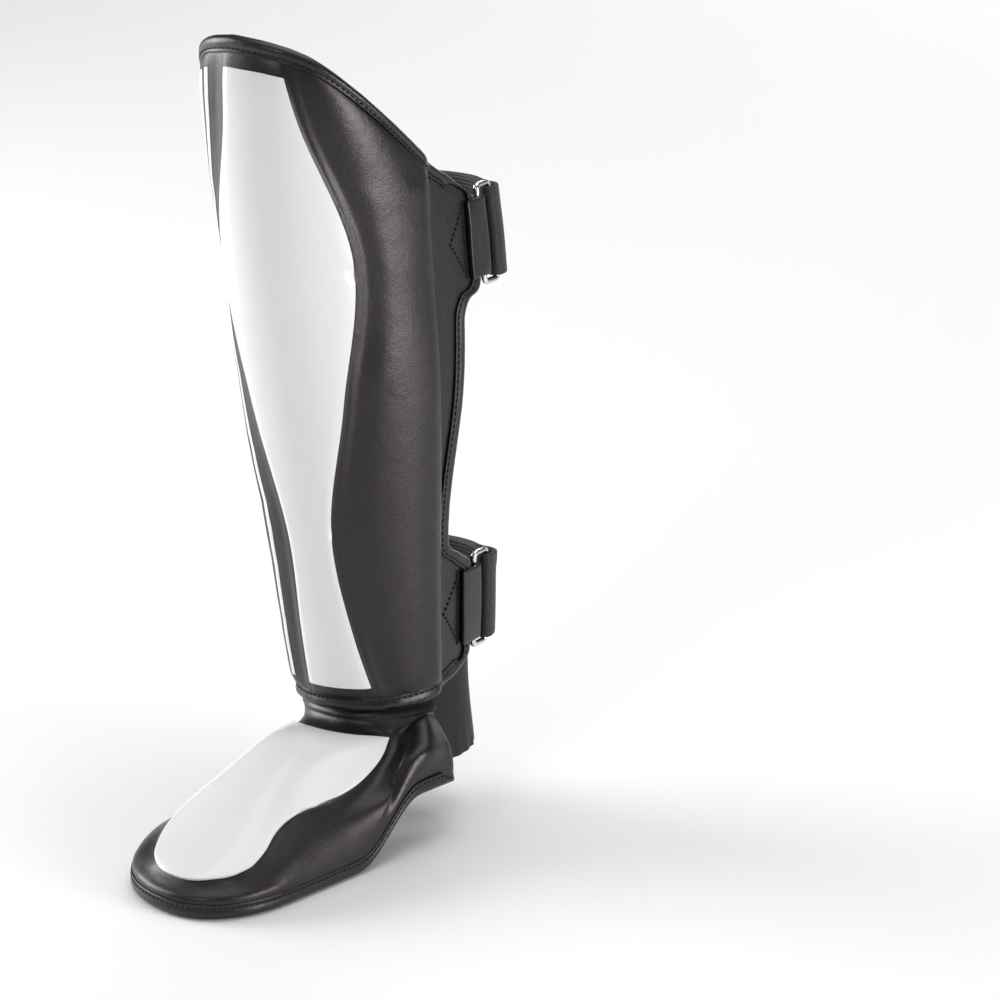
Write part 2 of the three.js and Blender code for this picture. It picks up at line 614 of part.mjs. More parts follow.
// The profile from the rim up over the instep to the hem, for one turn round the pad
function footProfile(turn) {
  const rim = rimPoint(turn);
  const lift = rimLift(Math.sign(turn), rim.y);
  const distance = neckDistance * turn;
  const top = leaned(shinPoint(distance, HEM_HEIGHT - SEAM_GAP, neckIn));
  const under = leaned(shinPoint(distance, HEM_HEIGHT - NECK_LENGTH, neckIn));
  const inwards = new THREE.Vector2(under.x, under.y).sub(rim);
  const reach = inwards.length();
  inwards.normalize();
  const edgeHeight = lift + TOE_EDGE_HEIGHT;
  const points = [
    new THREE.Vector3(rim.x, rim.y, lift + SEAM_GAP),
    new THREE.Vector3(rim.x + TOE_EDGE_INSET * inwards.x, rim.y + TOE_EDGE_INSET * inwards.y, edgeHeight),
  ];
  const steep = 1 - smooth((reach - UPRIGHT_REACH) / (DOMED_REACH - UPRIGHT_REACH));
  for (const share of [0.25, 0.5, 0.75]) {
    const x = THREE.MathUtils.lerp(rim.x, under.x, share);
    const y = THREE.MathUtils.lerp(rim.y, under.y, share);
    const dome = Math.max(instepHeight(x, y), edgeHeight);
    const wall = THREE.MathUtils.lerp(edgeHeight, under.z, share ** 0.8);
    points.push(new THREE.Vector3(x, y, THREE.MathUtils.lerp(dome, wall, steep)));
  }
  points.push(under, top);
  return new THREE.CatmullRomCurve3(points, false, 'centripetal');
}

const footPoint = (turn, share) => footProfile(turn).getPoint(share);

function footNormal(turn, share) {
  const h = 0.004;
  const a = clamp(turn, -1 + h, 1 - h);
  const b = clamp(share, h, 1 - h);
  const round = footPoint(a + h, b).sub(footPoint(a - h, b));
  const up = footPoint(a, b + h).sub(footPoint(a, b - h));
  const normal = round.cross(up).normalize();
  return share === 0 ? normal.setZ(0).normalize() : normal;
}

function footThickness(share) {
  const body = THREE.MathUtils.lerp(FOOT_RIM_THICKNESS, FOOT_PAD_THICKNESS, smooth(share / 0.3));
  return THREE.MathUtils.lerp(FLANGE_THICKNESS / 2, body, smooth((1 - share) / 0.25));
}

// The turn round the pad at which one of its rows reaches a place across
function turnAt(share, x) {
  let low = -1;
  let high = 1;
  for (let i = 0; i < 24; i += 1) {
    const middle = (low + high) / 2;
    if (footPoint(middle, share).x < x) low = middle;
    else high = middle;
  }
  return (low + high) / 2;
}

const FOOT_PANEL_ROWS = 9;
const footShares = [0, 0.08, 1 / FOOT_SPANS, 0.2];
for (let i = 0; i <= FOOT_PANEL_ROWS; i += 1) {
  footShares.push(THREE.MathUtils.lerp(FOOT_PANEL_START, FOOT_PANEL_END, i / FOOT_PANEL_ROWS));
}
footShares.push(5 / FOOT_SPANS, 0.92, 1);
const FOOT_PANEL_ROW = 4;
const FOOT_SIDE_COLUMNS = 8;
const FOOT_PANEL_COLUMNS = 10;

// Turns of the lines that run up the pad at one share of the way: side, panel, side
function footTurns(share) {
  const at = clamp((share - FOOT_PANEL_START) / (FOOT_PANEL_END - FOOT_PANEL_START), 0, 1);
  const row = THREE.MathUtils.lerp(FOOT_PANEL_START, FOOT_PANEL_END, at);
  const lateral = turnAt(row, -FOOT_WIDTH * column(FOOT_PANEL, 'lateral', at));
  const medial = turnAt(row, FOOT_WIDTH * column(FOOT_PANEL, 'medial', at));
  const turns = [];
  for (let c = 0; c < FOOT_SIDE_COLUMNS; c += 1) turns.push(THREE.MathUtils.lerp(-1, lateral, c / FOOT_SIDE_COLUMNS));
  for (let c = 0; c < FOOT_PANEL_COLUMNS; c += 1) {
    turns.push(THREE.MathUtils.lerp(lateral, medial, c / FOOT_PANEL_COLUMNS));
  }
  for (let c = 0; c <= FOOT_SIDE_COLUMNS; c += 1) turns.push(THREE.MathUtils.lerp(medial, 1, c / FOOT_SIDE_COLUMNS));
  return turns;
}

const footGrid = footShares.map((share) => footTurns(share).map((turn) => {
  const face = footPoint(turn, share);
  const normal = footNormal(turn, share);
  return { face, back: face.clone().addScaledVector(normal, -footThickness(share)), normal };
}));

function footPad() {
  const face = footGrid.map((row) => row.map((cell) => cell.face));
  const back = footGrid.map((row) => row.map((cell) => cell.back));
  return leather('foot_pad', wallGeometry(face, back), COLOURS.leather, 0.45);
}

function footPanel() {
  const lay = (offset) => footGrid.slice(FOOT_PANEL_ROW, FOOT_PANEL_ROW + FOOT_PANEL_ROWS + 1)
    .map((row) => row.slice(FOOT_SIDE_COLUMNS, FOOT_SIDE_COLUMNS + FOOT_PANEL_COLUMNS + 1)
      .map((cell) => cell.face.clone().addScaledVector(cell.normal, offset)));
  return leather('foot_panel', wallGeometry(lay(3 * SEAM_GAP + FOOT_PANEL_THICKNESS), lay(3 * SEAM_GAP)), COLOURS.white, 0.25);
}

// Edge roll of the rim, flat underneath where the guard stands on it
function footBinding() {
  const section = [[-1, 0], [0.5, 0], [1, 0.25], [1, 0.75], [0.4, 1], [-1, 1]];
  const rings = footGrid[0].map(({ face, normal }) => section.map(([outward, up]) => {
    const reach = SEAM_GAP + (BINDING_WIDTH / 2) * (outward + 1);
    const z = face.z - SEAM_GAP + up * BINDING_THICKNESS;
    return new THREE.Vector3(face.x + normal.x * reach, face.y + normal.y * reach, z);
  }));
  return leather('foot_binding', barGeometry(rings, false), COLOURS.leather, 0.4);
}

// Wide elastic inside the rear edges of the instep pad, round the heel and up inside the hem
function heelBand() {
  const low = HEM_HEIGHT - HEEL_BAND_DROP;
  const hem = shinSection(HEM_HEIGHT);
  const inner = -REAR_STEP - FLANGE_THICKNESS / 2 - BINDING_THICKNESS / 2 - HEEL_BAND_THICKNESS / 2 - 3 * SEAM_GAP;
  const hemEdge = leaned(shinPoint(distanceAt(hem, FOLD_LINE), HEM_HEIGHT, inner));
  const otherEdge = leaned(shinPoint(-distanceAt(hem, FOLD_LINE), HEM_HEIGHT, inner));
  const middle = (hemEdge.x + otherEdge.x) / 2;
  const pathAt = (z) => {
    const share = clamp((z - low) / HEEL_BAND_DROP, 0, 1);
    const half = (hemEdge.x - otherEdge.x) / 2 + HEEL_BAND_SPREAD * (1 - share);
    const front = THREE.MathUtils.lerp(4 * SEAM_GAP, FOLD_LINE + HEEL_BAND_SEAM, smooth(share * 1.2 - 0.2));
    const round = HEEL_SPACE - half;
    const points = [new THREE.Vector3(middle + half, front, z), new THREE.Vector3(middle + half, (front + round) / 2, z)];
    const turns = 14;
    for (let i = 0; i <= turns; i += 1) {
      const angle = Math.PI * (i / turns);
      points.push(new THREE.Vector3(middle + half * Math.cos(angle), round + half * Math.sin(angle), z));
    }
    points.push(new THREE.Vector3(middle - half, (front + round) / 2, z), new THREE.Vector3(middle - half, front, z));
    return points;
  };
  const heights = [0, 0.2, 0.4, 0.58, 1].map((share) => low + share * HEEL_BAND_WIDTH);
  const wall = (offset) => heights.map((z) => {
    const path = pathAt(z);
    return path.map((point, i) => {
      const along = path[Math.min(i + 1, path.length - 1)].clone().sub(path[Math.max(i - 1, 0)]).normalize();
      return new THREE.Vector3(point.x + along.y * offset, point.y - along.x * offset, z);
    });
  });
  const half = HEEL_BAND_THICKNESS / 2;
  return leather('heel_band', wallGeometry(wall(half), wall(-half)), COLOURS.elastic, 0.85);
}

// The whole guard

const shinGroup = new THREE.Group();
shinGroup.rotation.y = -radians(SIDE_LEAN);
shinGroup.add(shinPad());
shinGroup.add(shinSkin('shin_panel', 'panel', PANEL_FIRST_ROW, PANEL_LAST_ROW, PANEL_THICKNESS, COLOURS.white));
shinGroup.add(shinSkin('stripe_thin', 'thin', PANEL_FIRST_ROW, PANEL_LAST_ROW, STRIPE_THICKNESS, COLOURS.print));
shinGroup.add(shinSkin('stripe_wide', 'wide', PANEL_FIRST_ROW, PANEL_LAST_ROW, STRIPE_THICKNESS, COLOURS.print));
shinGroup.add(shinBinding());
shinGroup.add(ringLoop('upper_loop', UPPER_STRAP_HEIGHT), ring('upper_ring', UPPER_STRAP_HEIGHT));
shinGroup.add(strap('upper_strap', UPPER_STRAP_HEIGHT, UPPER_CALF_SPACE));
shinGroup.add(ringLoop('lower_loop', LOWER_STRAP_HEIGHT), ring('lower_ring', LOWER_STRAP_HEIGHT));
shinGroup.add(strap('lower_strap', LOWER_STRAP_HEIGHT, LOWER_CALF_SPACE));

const footGroup = new THREE.Group();
footGroup.add(footPad(), footPanel(), footBinding(), heelBand());

const guard = new THREE.Group();
guard.add(shinGroup, footGroup);

// The origin goes on the floor under the middle of the guard
guard.updateMatrixWorld(true);
const box = new THREE.Box3().setFromObject(guard, true);
guard.position.set(-(box.min.x + box.max.x) / 2, -(box.min.y + box.max.y) / 2, -box.min.z);

export default guard;
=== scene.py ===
"""A padded leather shin and instep guard for kick boxing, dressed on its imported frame.

Metres, +Z up, toe towards -Y, buckles on the +X side and stripes on the -X side. Lengths in the
size classes are millimetres, as a maker would write them down, and points leave them in metres.
"""

import logging
import math
from dataclasses import dataclass, field
from enum import Enum, IntEnum
from typing import Sequence

import bpy
import numpy as np
from mathutils import Matrix, Vector, noise


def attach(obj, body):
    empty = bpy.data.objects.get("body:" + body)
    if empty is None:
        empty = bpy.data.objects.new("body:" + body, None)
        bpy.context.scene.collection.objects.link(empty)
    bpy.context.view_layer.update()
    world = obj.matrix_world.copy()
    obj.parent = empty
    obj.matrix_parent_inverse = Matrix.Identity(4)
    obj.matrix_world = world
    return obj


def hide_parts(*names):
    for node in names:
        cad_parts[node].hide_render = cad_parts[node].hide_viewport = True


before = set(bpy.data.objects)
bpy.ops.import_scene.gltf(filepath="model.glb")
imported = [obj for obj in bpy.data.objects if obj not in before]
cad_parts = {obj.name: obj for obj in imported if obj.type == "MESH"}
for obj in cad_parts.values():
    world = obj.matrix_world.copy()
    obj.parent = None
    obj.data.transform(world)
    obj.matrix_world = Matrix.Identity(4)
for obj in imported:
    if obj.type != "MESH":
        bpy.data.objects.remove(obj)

log = logging.getLogger("guard")
MM = 0.001
BODY = "root"
CUT_EDGE = 50.0
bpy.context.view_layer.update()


# Mesh helpers

class Shading(Enum):
    """How a piece's faces are smoothed."""
    SMOOTH = "smooth"
    BY_ANGLE = "by_angle"


def deselect_all() -> None:
    """Leave edit mode and deselect every object."""
    if bpy.context.object and bpy.context.object.mode != "OBJECT":
        bpy.ops.object.mode_set(mode="OBJECT")
    bpy.ops.object.select_all(action="DESELECT")


def take(piece: bpy.types.Object) -> bpy.types.Object:
    """Select one piece alone and make it the active one."""
    deselect_all()
    piece.select_set(True)
    bpy.context.view_layer.objects.active = piece
    return piece


def apply_modifier(piece: bpy.types.Object, kind: str, **settings: object) -> None:
    """Add one modifier, set it and apply it.

    Args:
        piece: the piece that is changed.
        kind: Blender's name for the modifier's type.
        settings: the modifier's own values.
    """
    take(piece)
    modifier = piece.modifiers.new(kind.title(), kind)
    for name, value in settings.items():
        setattr(modifier, name, value)
    bpy.ops.object.modifier_apply(modifier=modifier.name)


def smooth(piece: bpy.types.Object, shading: Shading = Shading.SMOOTH) -> None:
    """Shade a piece smooth, all over or up to the angle of a cut edge."""
    take(piece)
    if shading is Shading.SMOOTH:
        bpy.ops.object.shade_smooth()
    else:
        bpy.ops.object.shade_smooth_by_angle(angle=math.radians(CUT_EDGE))


def refine(piece: bpy.types.Object, levels: int, shading: Shading = Shading.SMOOTH) -> None:
    """Subdivide a piece and shade it smooth."""
    apply_modifier(piece, "SUBSURF", levels=levels, render_levels=levels)
    smooth(piece, shading)


def edit_all(piece: bpy.types.Object) -> None:
    """Open one piece in edit mode with everything selected."""
    take(piece)
    bpy.ops.object.mode_set(mode="EDIT")
    bpy.ops.mesh.select_all(action="SELECT")


def edit_edges(piece: bpy.types.Object) -> None:
    """Open one piece in edit mode, ready to select edges, with nothing selected."""
    edit_all(piece)
    bpy.ops.mesh.select_all(action="DESELECT")
    bpy.ops.mesh.select_mode(type="EDGE")


def close_up(piece: bpy.types.Object) -> None:
    """Turn a closed piece's faces out and leave edit mode."""
    edit_all(piece)
    bpy.ops.mesh.normals_make_consistent(inside=False)
    bpy.ops.object.mode_set(mode="OBJECT")


def join(pieces: Sequence[bpy.types.Object]) -> bpy.types.Object:
    """Join pieces into the first one."""
    deselect_all()
    for piece in pieces:
        piece.select_set(True)
    bpy.context.view_layer.objects.active = pieces[0]
    bpy.ops.object.join()
    return pieces[0]


def formed(name: str, points: np.ndarray) -> bpy.types.Object:
    """Cut a flat sheet and move its points onto the form, as leather is stretched over a last.

    Args:
        name: the piece's name.
        points: the points' places, rows by columns by 3, in metres.

    Returns:
        The sheet, with its points stored row by row.
    """
    rows, columns = points.shape[:2]
    deselect_all()
    bpy.ops.mesh.primitive_grid_add(x_subdivisions=columns - 1, y_subdivisions=rows - 1, size=1.0)
    sheet = bpy.context.object
    sheet.name = sheet.data.name = name
    put_points(sheet, points)
    return sheet


def points_of(piece: bpy.types.Object) -> np.ndarray:
    """A piece's points."""
    flat = np.empty(3 * len(piece.data.vertices), dtype=np.float32)
    piece.data.vertices.foreach_get("co", flat)
    return flat.reshape(-1, 3).astype(float)


def put_points(piece: bpy.types.Object, points: np.ndarray) -> None:
    """Move a piece's points."""
    piece.data.vertices.foreach_set("co", np.ascontiguousarray(points, dtype=np.float32).ravel())
    piece.data.update()


def face_of(piece: bpy.types.Object, shape: tuple[int, ...]) -> np.ndarray:
    """The points of a wall's face, laid out as they were cut."""
    return points_of(piece)[:shape[0] * shape[1]].reshape(shape)


def wall(name: str, face: np.ndarray, back: np.ndarray) -> bpy.types.Object:
    """Sew a face and a back of the same cut together along all four edges.

    Args:
        name: the piece's name.
        face: outer points, rows by columns by 3.
        back: inner points, laid out the same way.

    Returns:
        One closed piece with its faces pointing out.
    """
    rows, columns = face.shape[:2]
    front = join([formed(name, face), formed(name + "_back", back)])
    edit_edges(front)
    bpy.ops.object.mode_set(mode="OBJECT")
    count = rows * columns
    rim = set(range(columns)) | set(range(count - columns, count))
    rim |= {r * columns for r in range(rows)} | {r * columns + columns - 1 for r in range(rows)}
    edge_set = rim | {index + count for index in rim}
    used: dict[tuple[int, int], int] = {}
    for face_item in front.data.polygons:
        for key in face_item.edge_keys:
            used[key] = used.get(key, 0) + 1
    for edge in front.data.edges:
        edge.select = used[edge.key] == 1 and edge.vertices[0] in edge_set
    bpy.ops.object.mode_set(mode="EDIT")
    bpy.ops.mesh.bridge_edge_loops()
    close_up(front)
    return front


def tube(name: str, rings: np.ndarray, is_loop: bool) -> bpy.types.Object:
    """A bar through rings of points, closed into a loop or capped at both ends.

    Args:
        name: the piece's name.
        rings: points, rings by sides by 3, in metres.
        is_loop: whether the last ring joins the first.

    Returns:
        One closed piece with its faces pointing out.
    """
    wrapped = np.concatenate([rings, rings[:, :1]], axis=1)
    if is_loop:
        wrapped = np.concatenate([wrapped, wrapped[:1]], axis=0)
    bar = formed(name, wrapped)
    edit_all(bar)
    bpy.ops.mesh.remove_doubles(threshold=MM / 1000)
    if not is_loop:
        edit_edges(bar)
        bpy.ops.mesh.select_non_manifold()
        bpy.ops.mesh.edge_face_add()
    close_up(bar)
    return bar


def crease_sharp(piece: bpy.types.Object, weight: float) -> None:
    """Hold the cut edges, so that a subdivision keeps them."""
    edit_edges(piece)
    bpy.ops.mesh.edges_select_sharp(sharpness=math.radians(CUT_EDGE))
    bpy.ops.transform.edge_crease(value=weight)
    bpy.ops.object.mode_set(mode="OBJECT")


def seat(piece: bpy.types.Object, slot: str, finish: "Finish", *nodes: str) -> None:
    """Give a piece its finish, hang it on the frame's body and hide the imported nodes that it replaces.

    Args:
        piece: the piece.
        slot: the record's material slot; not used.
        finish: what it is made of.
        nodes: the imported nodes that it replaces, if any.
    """
    piece.data.materials.clear()
    piece.data.materials.append(finish.material())
    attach(piece, BODY)
    if nodes:
        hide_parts(*nodes)
    log.info("%s: %d faces", piece.name, len(piece.data.polygons))


# Shared effects

def noise_node(tree: bpy.types.NodeTree, place: bpy.types.NodeSocket, scale: float,
               **settings: float) -> bpy.types.Node:
    """A noise read at a place, its other settings named as on its sockets."""
    node = tree.nodes.new("ShaderNodeTexNoise")
    node.inputs["Scale"].default_value = scale
    for name, value in settings.items():
        node.inputs[name].default_value = value
    tree.links.new(place, node.inputs["Vector"])
    return node


def sum_node(tree: bpy.types.NodeTree, operation: str, *terms: object) -> bpy.types.NodeSocket:
    """The result of a sum whose terms are sockets or plain numbers."""
    node = tree.nodes.new("ShaderNodeMath")
    node.operation = operation
    for socket, term in zip(node.inputs, terms):
        if isinstance(term, bpy.types.NodeSocket):
            tree.links.new(term, socket)
        else:
            socket.default_value = term
    return node.outputs[0]


def new_group(name: str, inputs: Sequence[str], outputs: Sequence[str]) -> tuple:
    """Start a shader node group.

    Args:
        name: the group's name.
        inputs: its number inputs, beside the place that it is read at.
        outputs: its number outputs.

    Returns:
        The group, its input node and its output node.
    """
    group = bpy.data.node_groups.new(name, "ShaderNodeTree")
    group.interface.new_socket("Place", in_out="INPUT", socket_type="NodeSocketVector")
    for label in inputs:
        group.interface.new_socket(label, in_out="INPUT", socket_type="NodeSocketFloat")
    for label in outputs:
        group.interface.new_socket(label, in_out="OUTPUT", socket_type="NodeSocketFloat")
    return group, group.nodes.new("NodeGroupInput"), group.nodes.new("NodeGroupOutput")


def grain_group() -> bpy.types.NodeTree:
    """Grained leather: fine pebbled cells with long soft creases.

    Returns:
        The group, whose outputs are a height and a slow mottle.
    """
    found = bpy.data.node_groups.get("leather_grain")
    if found:
        return found
    group, start, end = new_group("leather_grain", ["Cells per metre", "Creases"], ["Height", "Mottle"])
    nodes, links = group.nodes, group.links
    origin = start.outputs["Place"]
    shift = nodes.new("ShaderNodeVectorMath")
    shift.operation = "SCALE"
    shift.inputs["Scale"].default_value = 0.0016
    links.new(noise_node(group, origin, 240.0, Detail=2.0).outputs["Color"], shift.inputs[0])
    place = nodes.new("ShaderNodeVectorMath")
    place.operation = "ADD"
    links.new(origin, place.inputs[0])
    links.new(shift.outputs[0], place.inputs[1])
    cells = nodes.new("ShaderNodeTexVoronoi")
    cells.feature = "DISTANCE_TO_EDGE"
    links.new(place.outputs[0], cells.inputs["Vector"])
    links.new(start.outputs["Cells per metre"], cells.inputs["Scale"])
    pebble = nodes.new("ShaderNodeMapRange")
    pebble.interpolation_type = "SMOOTHSTEP"
    pebble.inputs["From Max"].default_value = 0.45
    pebble.inputs["To Max"].default_value = 0.22
    links.new(cells.outputs["Distance"], pebble.inputs["Value"])
    creases = noise_node(group, origin, 95.0, Detail=5.0, Roughness=0.6, Distortion=0.7)
    crease_height = sum_node(group, "MULTIPLY", creases.outputs["Fac"], start.outputs["Creases"])
    links.new(sum_node(group, "ADD", pebble.outputs["Result"], crease_height), end.inputs["Height"])
    links.new(noise_node(group, origin, 11.0, Detail=3.0).outputs["Fac"], end.inputs["Mottle"])
    return group


def weave_group() -> bpy.types.NodeTree:
    """Ribbed elastic webbing: fine cords along its length, crossed by the weft.

    Returns:
        The group, whose outputs are a height and a mask of the hollows between the cords, which the
        finishes use for painted shade.
    """
    found = bpy.data.node_groups.get("elastic_weave")
    if found:
        return found
    labels = ["Cords per metre", "Weft per metre"]
    group, start, end = new_group("elastic_weave", labels, ["Height", "Hollows"])
    split = group.nodes.new("ShaderNodeSeparateXYZ")
    group.links.new(start.outputs["Place"], split.inputs[0])
    waves = []
    for axis, label in zip("YX", labels):
        turn = sum_node(group, "MULTIPLY", split.outputs[axis], start.outputs[label])
        wave = sum_node(group, "SINE", sum_node(group, "MULTIPLY", turn, 2 * math.pi))
        waves.append(ranged(group, wave, 0.0, 1.0, -1.0, 1.0))
    cords, weft = waves
    group.links.new(sum_node(group, "MULTIPLY_ADD", weft, 0.35, cords), end.inputs["Height"])
    group.links.new(sum_node(group, "SUBTRACT", 1.0, cords), end.inputs["Hollows"])
    return group


@dataclass(frozen=True)
class Finish:
    """What a piece is made of: its name and its even colour and roughness."""
    name: str
    colour: tuple[float, float, float]
    roughness: float

    def material(self) -> bpy.types.Material:
        """The finish's material, with its shader, made once."""
        found = bpy.data.materials.get(self.name)
        if found:
            return found
        material = bpy.data.materials.new(self.name)
        material.use_nodes = True
        shader = material.node_tree.nodes["Principled BSDF"]
        shader.inputs["Base Color"].default_value = (*self.colour, 1.0)
        shader.inputs["Roughness"].default_value = self.roughness
        self.dress(material.node_tree, shader)
        return material

    def dress(self, tree: bpy.types.NodeTree, shader: bpy.types.Node) -> None:
        """Wire the finish's own detail to its shader.

        Args:
            tree: the material's nodes.
            shader: its Principled shader.
        """


def place_node(tree: bpy.types.NodeTree, uv_map: str = "") -> bpy.types.NodeSocket:
    """Where a pattern is read: the piece's own UV map if it is named, else its object coordinates."""
    if uv_map:
        uv = tree.nodes.new("ShaderNodeUVMap")
        uv.uv_map = uv_map
        return uv.outputs["UV"]
    return tree.nodes.new("ShaderNodeTexCoord").outputs["Object"]


def colour_mix(tree: bpy.types.NodeTree, factor: bpy.types.NodeSocket, low: Sequence[float],
               high: Sequence[float]) -> bpy.types.NodeSocket:
    """Blend two colours by a mask.

    Args:
        tree: the material's nodes.
        factor: the mask, from 0 to 1.
        low: the colour where the mask is 0.
        high: the colour where it is 1.

    Returns:
        The blended colour's socket.
    """
    mix = tree.nodes.new("ShaderNodeMix")
    mix.data_type = "RGBA"
    mix.inputs["A"].default_value = (*low, 1.0)
    mix.inputs["B"].default_value = (*high, 1.0)
    tree.links.new(factor, mix.inputs["Factor"])
    return mix.outputs["Result"]


def ranged(tree: bpy.types.NodeTree, value: bpy.types.NodeSocket, low: float, high: float,
           start: float = 0.0, stop: float = 1.0) -> bpy.types.NodeSocket:
    """Map a value from one range onto another."""
    node = tree.nodes.new("ShaderNodeMapRange")
    node.inputs["From Min"].default_value = start
    node.inputs["From Max"].default_value = stop
    node.inputs["To Min"].default_value = low
    node.inputs["To Max"].default_value = high
    tree.links.new(value, node.inputs["Value"])
    return node.outputs["Result"]


def bumped(tree: bpy.types.NodeTree, shader: bpy.types.Node, height: bpy.types.NodeSocket,
           strength: float, depth: float) -> None:
    """Raise the shader's surface by a height.

    Args:
        tree: the material's nodes.
        shader: the shader that gets the normal.
        height: the height's socket.
        strength: how much of it shows, 0 to 1.
        depth: the real depth of a height of 1, in metres.
    """
    bump = tree.nodes.new("ShaderNodeBump")
    bump.inputs["Strength"].default_value = strength
    bump.inputs["Distance"].default_value = depth
    tree.links.new(height, bump.inputs["Height"])
    tree.links.new(bump.outputs["Normal"], shader.inputs["Normal"])


@dataclass(frozen=True)
class LeatherFinish(Finish):
    """Leather: grain, soft creases, uneven gloss and a slightly lighter rubbed face."""
    rubbed: tuple[float, float, float] = (0.05, 0.047, 0.046)
    cells: float = 750.0
    creases: float = 2.2
    grain_depth: float = 0.00032
    gloss_spread: float = 0.08
    shine: float = 0.36
    tint: tuple[float, float, float] = (1.0, 1.0, 1.0)

    def dress(self, tree: bpy.types.NodeTree, shader: bpy.types.Node) -> None:
        """Wire the grain to colour, roughness and surface."""
        grain = tree.nodes.new("ShaderNodeGroup")
        grain.node_tree = grain_group()
        grain.inputs["Cells per metre"].default_value = self.cells
        grain.inputs["Creases"].default_value = self.creases
        shader.inputs["Specular IOR Level"].default_value = self.shine
        shader.inputs["Specular Tint"].default_value = (*self.tint, 1.0)
        tree.links.new(place_node(tree), grain.inputs["Place"])
        tree.links.new(colour_mix(tree, grain.outputs["Mottle"], self.colour, self.rubbed),
                       shader.inputs["Base Color"])
        tree.links.new(ranged(tree, grain.outputs["Mottle"], self.roughness - self.gloss_spread,
                              self.roughness + self.gloss_spread, 0.3, 0.7), shader.inputs["Roughness"])
        bumped(tree, shader, grain.outputs["Height"], 0.6, self.grain_depth)


@dataclass(frozen=True)
class ElasticFinish(Finish):
    """Woven elastic, read along the piece's own UV map, with painted light and shade that set the cords'
    tops apart from the hollows.
    """
    cords: float = 900.0
    weft: float = 1300.0
    depth: float = 0.0003
    # lit: painted light on the cords' tops.
    lit: tuple[float, float, float] = (0.035, 0.034, 0.036)

    def dress(self, tree: bpy.types.NodeTree, shader: bpy.types.Node) -> None:
        """Wire the weave to colour, as painted light and shade between cords and hollows, and to surface,
        with the cloth's soft sheen.
        """
        weave = tree.nodes.new("ShaderNodeGroup")
        weave.node_tree = weave_group()
        weave.inputs["Cords per metre"].default_value = self.cords
        weave.inputs["Weft per metre"].default_value = self.weft
        tree.links.new(place_node(tree, "Strip"), weave.inputs["Place"])
        # Painted light and shade: the cords' tops take the lit colour and the hollows the plain colour.
        tree.links.new(colour_mix(tree, weave.outputs["Hollows"], self.lit, self.colour),
                       shader.inputs["Base Color"])
        shader.inputs["Sheen Weight"].default_value = 0.10
        shader.inputs["Sheen Roughness"].default_value = 0.5
        bumped(tree, shader, weave.outputs["Height"], 0.7, self.depth)


@dataclass(frozen=True)
class SteelFinish(Finish):
    """Bright plated wire with faint bumps and dull spots."""

    def dress(self, tree: bpy.types.NodeTree, shader: bpy.types.Node) -> None:
        """Wire the dull spots to the roughness."""
        shader.inputs["Metallic"].default_value = 1.0
        spots = noise_node(tree, place_node(tree), 420.0, Detail=4.0).outputs["Fac"]
        bright, dull = 0.6 * self.roughness, 1.8 * self.roughness
        tree.links.new(ranged(tree, spots, bright, dull, 0.35, 0.7), shader.inputs["Roughness"])
        bumped(tree, shader, spots, 0.2, 0.08 * MM)


@dataclass(frozen=True)
class ThreadFinish(Finish):
    """Waxed sewing thread with its twist."""

    def dress(self, tree: bpy.types.NodeTree, shader: bpy.types.Node) -> None:
        """Wire the twist to the surface."""
        twist = noise_node(tree, place_node(tree), 1800.0).outputs["Fac"]
        lit = tuple(2.2 * c for c in self.colour)
        tree.links.new(colour_mix(tree, twist, self.colour, lit), shader.inputs["Base Color"])
        bumped(tree, shader, twist, 0.5, 0.2 * MM)


@dataclass(frozen=True)
class FloorFinish(Finish):
    """Plain pale studio floor."""

    def dress(self, tree: bpy.types.NodeTree, shader: bpy.types.Node) -> None:
        """Wire a barely visible unevenness to the floor."""
        cloud = noise_node(tree, place_node(tree), 2.0).outputs["Fac"]
        tree.links.new(ranged(tree, cloud, 0.55, 0.65), shader.inputs["Roughness"])


SATIN_TINT = (1.0, 0.925, 0.945)
BLACK_LEATHER = LeatherFinish(
    "grained_black_leather", (0.0060, 0.0045, 0.0044), 0.36, rubbed=(0.0100, 0.0078, 0.0076),
    creases=1.5, shine=0.5, tint=SATIN_TINT)
EDGE_LEATHER = LeatherFinish(
    "grained_edge_leather", (0.0060, 0.0046, 0.0045), 0.31, rubbed=(0.0100, 0.0080, 0.0078),
    cells=900.0, creases=1.6, grain_depth=0.0003, shine=0.5, tint=SATIN_TINT)
WHITE_LEATHER = LeatherFinish(
    "glossy_white_leather", (0.73, 0.735, 0.75), 0.22, rubbed=(0.78, 0.785, 0.80),
    cells=1500.0, creases=0.8, grain_depth=0.00005, gloss_spread=0.04, shine=0.6)
STRIPE_PRINT = LeatherFinish(
    "printed_stripe", (0.74, 0.74, 0.75), 0.33, rubbed=(0.79, 0.79, 0.80),
    cells=900.0, creases=0.5, grain_depth=0.00012)
# The elastics' lit colours are painted light on the cords' tops, against painted shade in the hollows.
STRAP_ELASTIC = ElasticFinish(
    "ribbed_elastic", (0.0040, 0.0040, 0.0044), 0.62, cords=480.0, weft=720.0,
    depth=0.00022, lit=(0.0062, 0.0056, 0.0058))
HEEL_ELASTIC = ElasticFinish(
    "knitted_elastic", (0.0055, 0.0050, 0.0050), 0.80, cords=700.0, weft=700.0,
    depth=0.00012, lit=(0.0050, 0.0046, 0.0047))
RING_STEEL = SteelFinish("plated_steel", (0.72, 0.72, 0.71), 0.16)
THREAD = ThreadFinish("waxed_thread", (0.0025, 0.0022, 0.0022), 0.8)
FLOOR = FloorFinish("pale_floor", (0.93, 0.93, 0.93), 0.6)


# Forms that the leather is stretched over

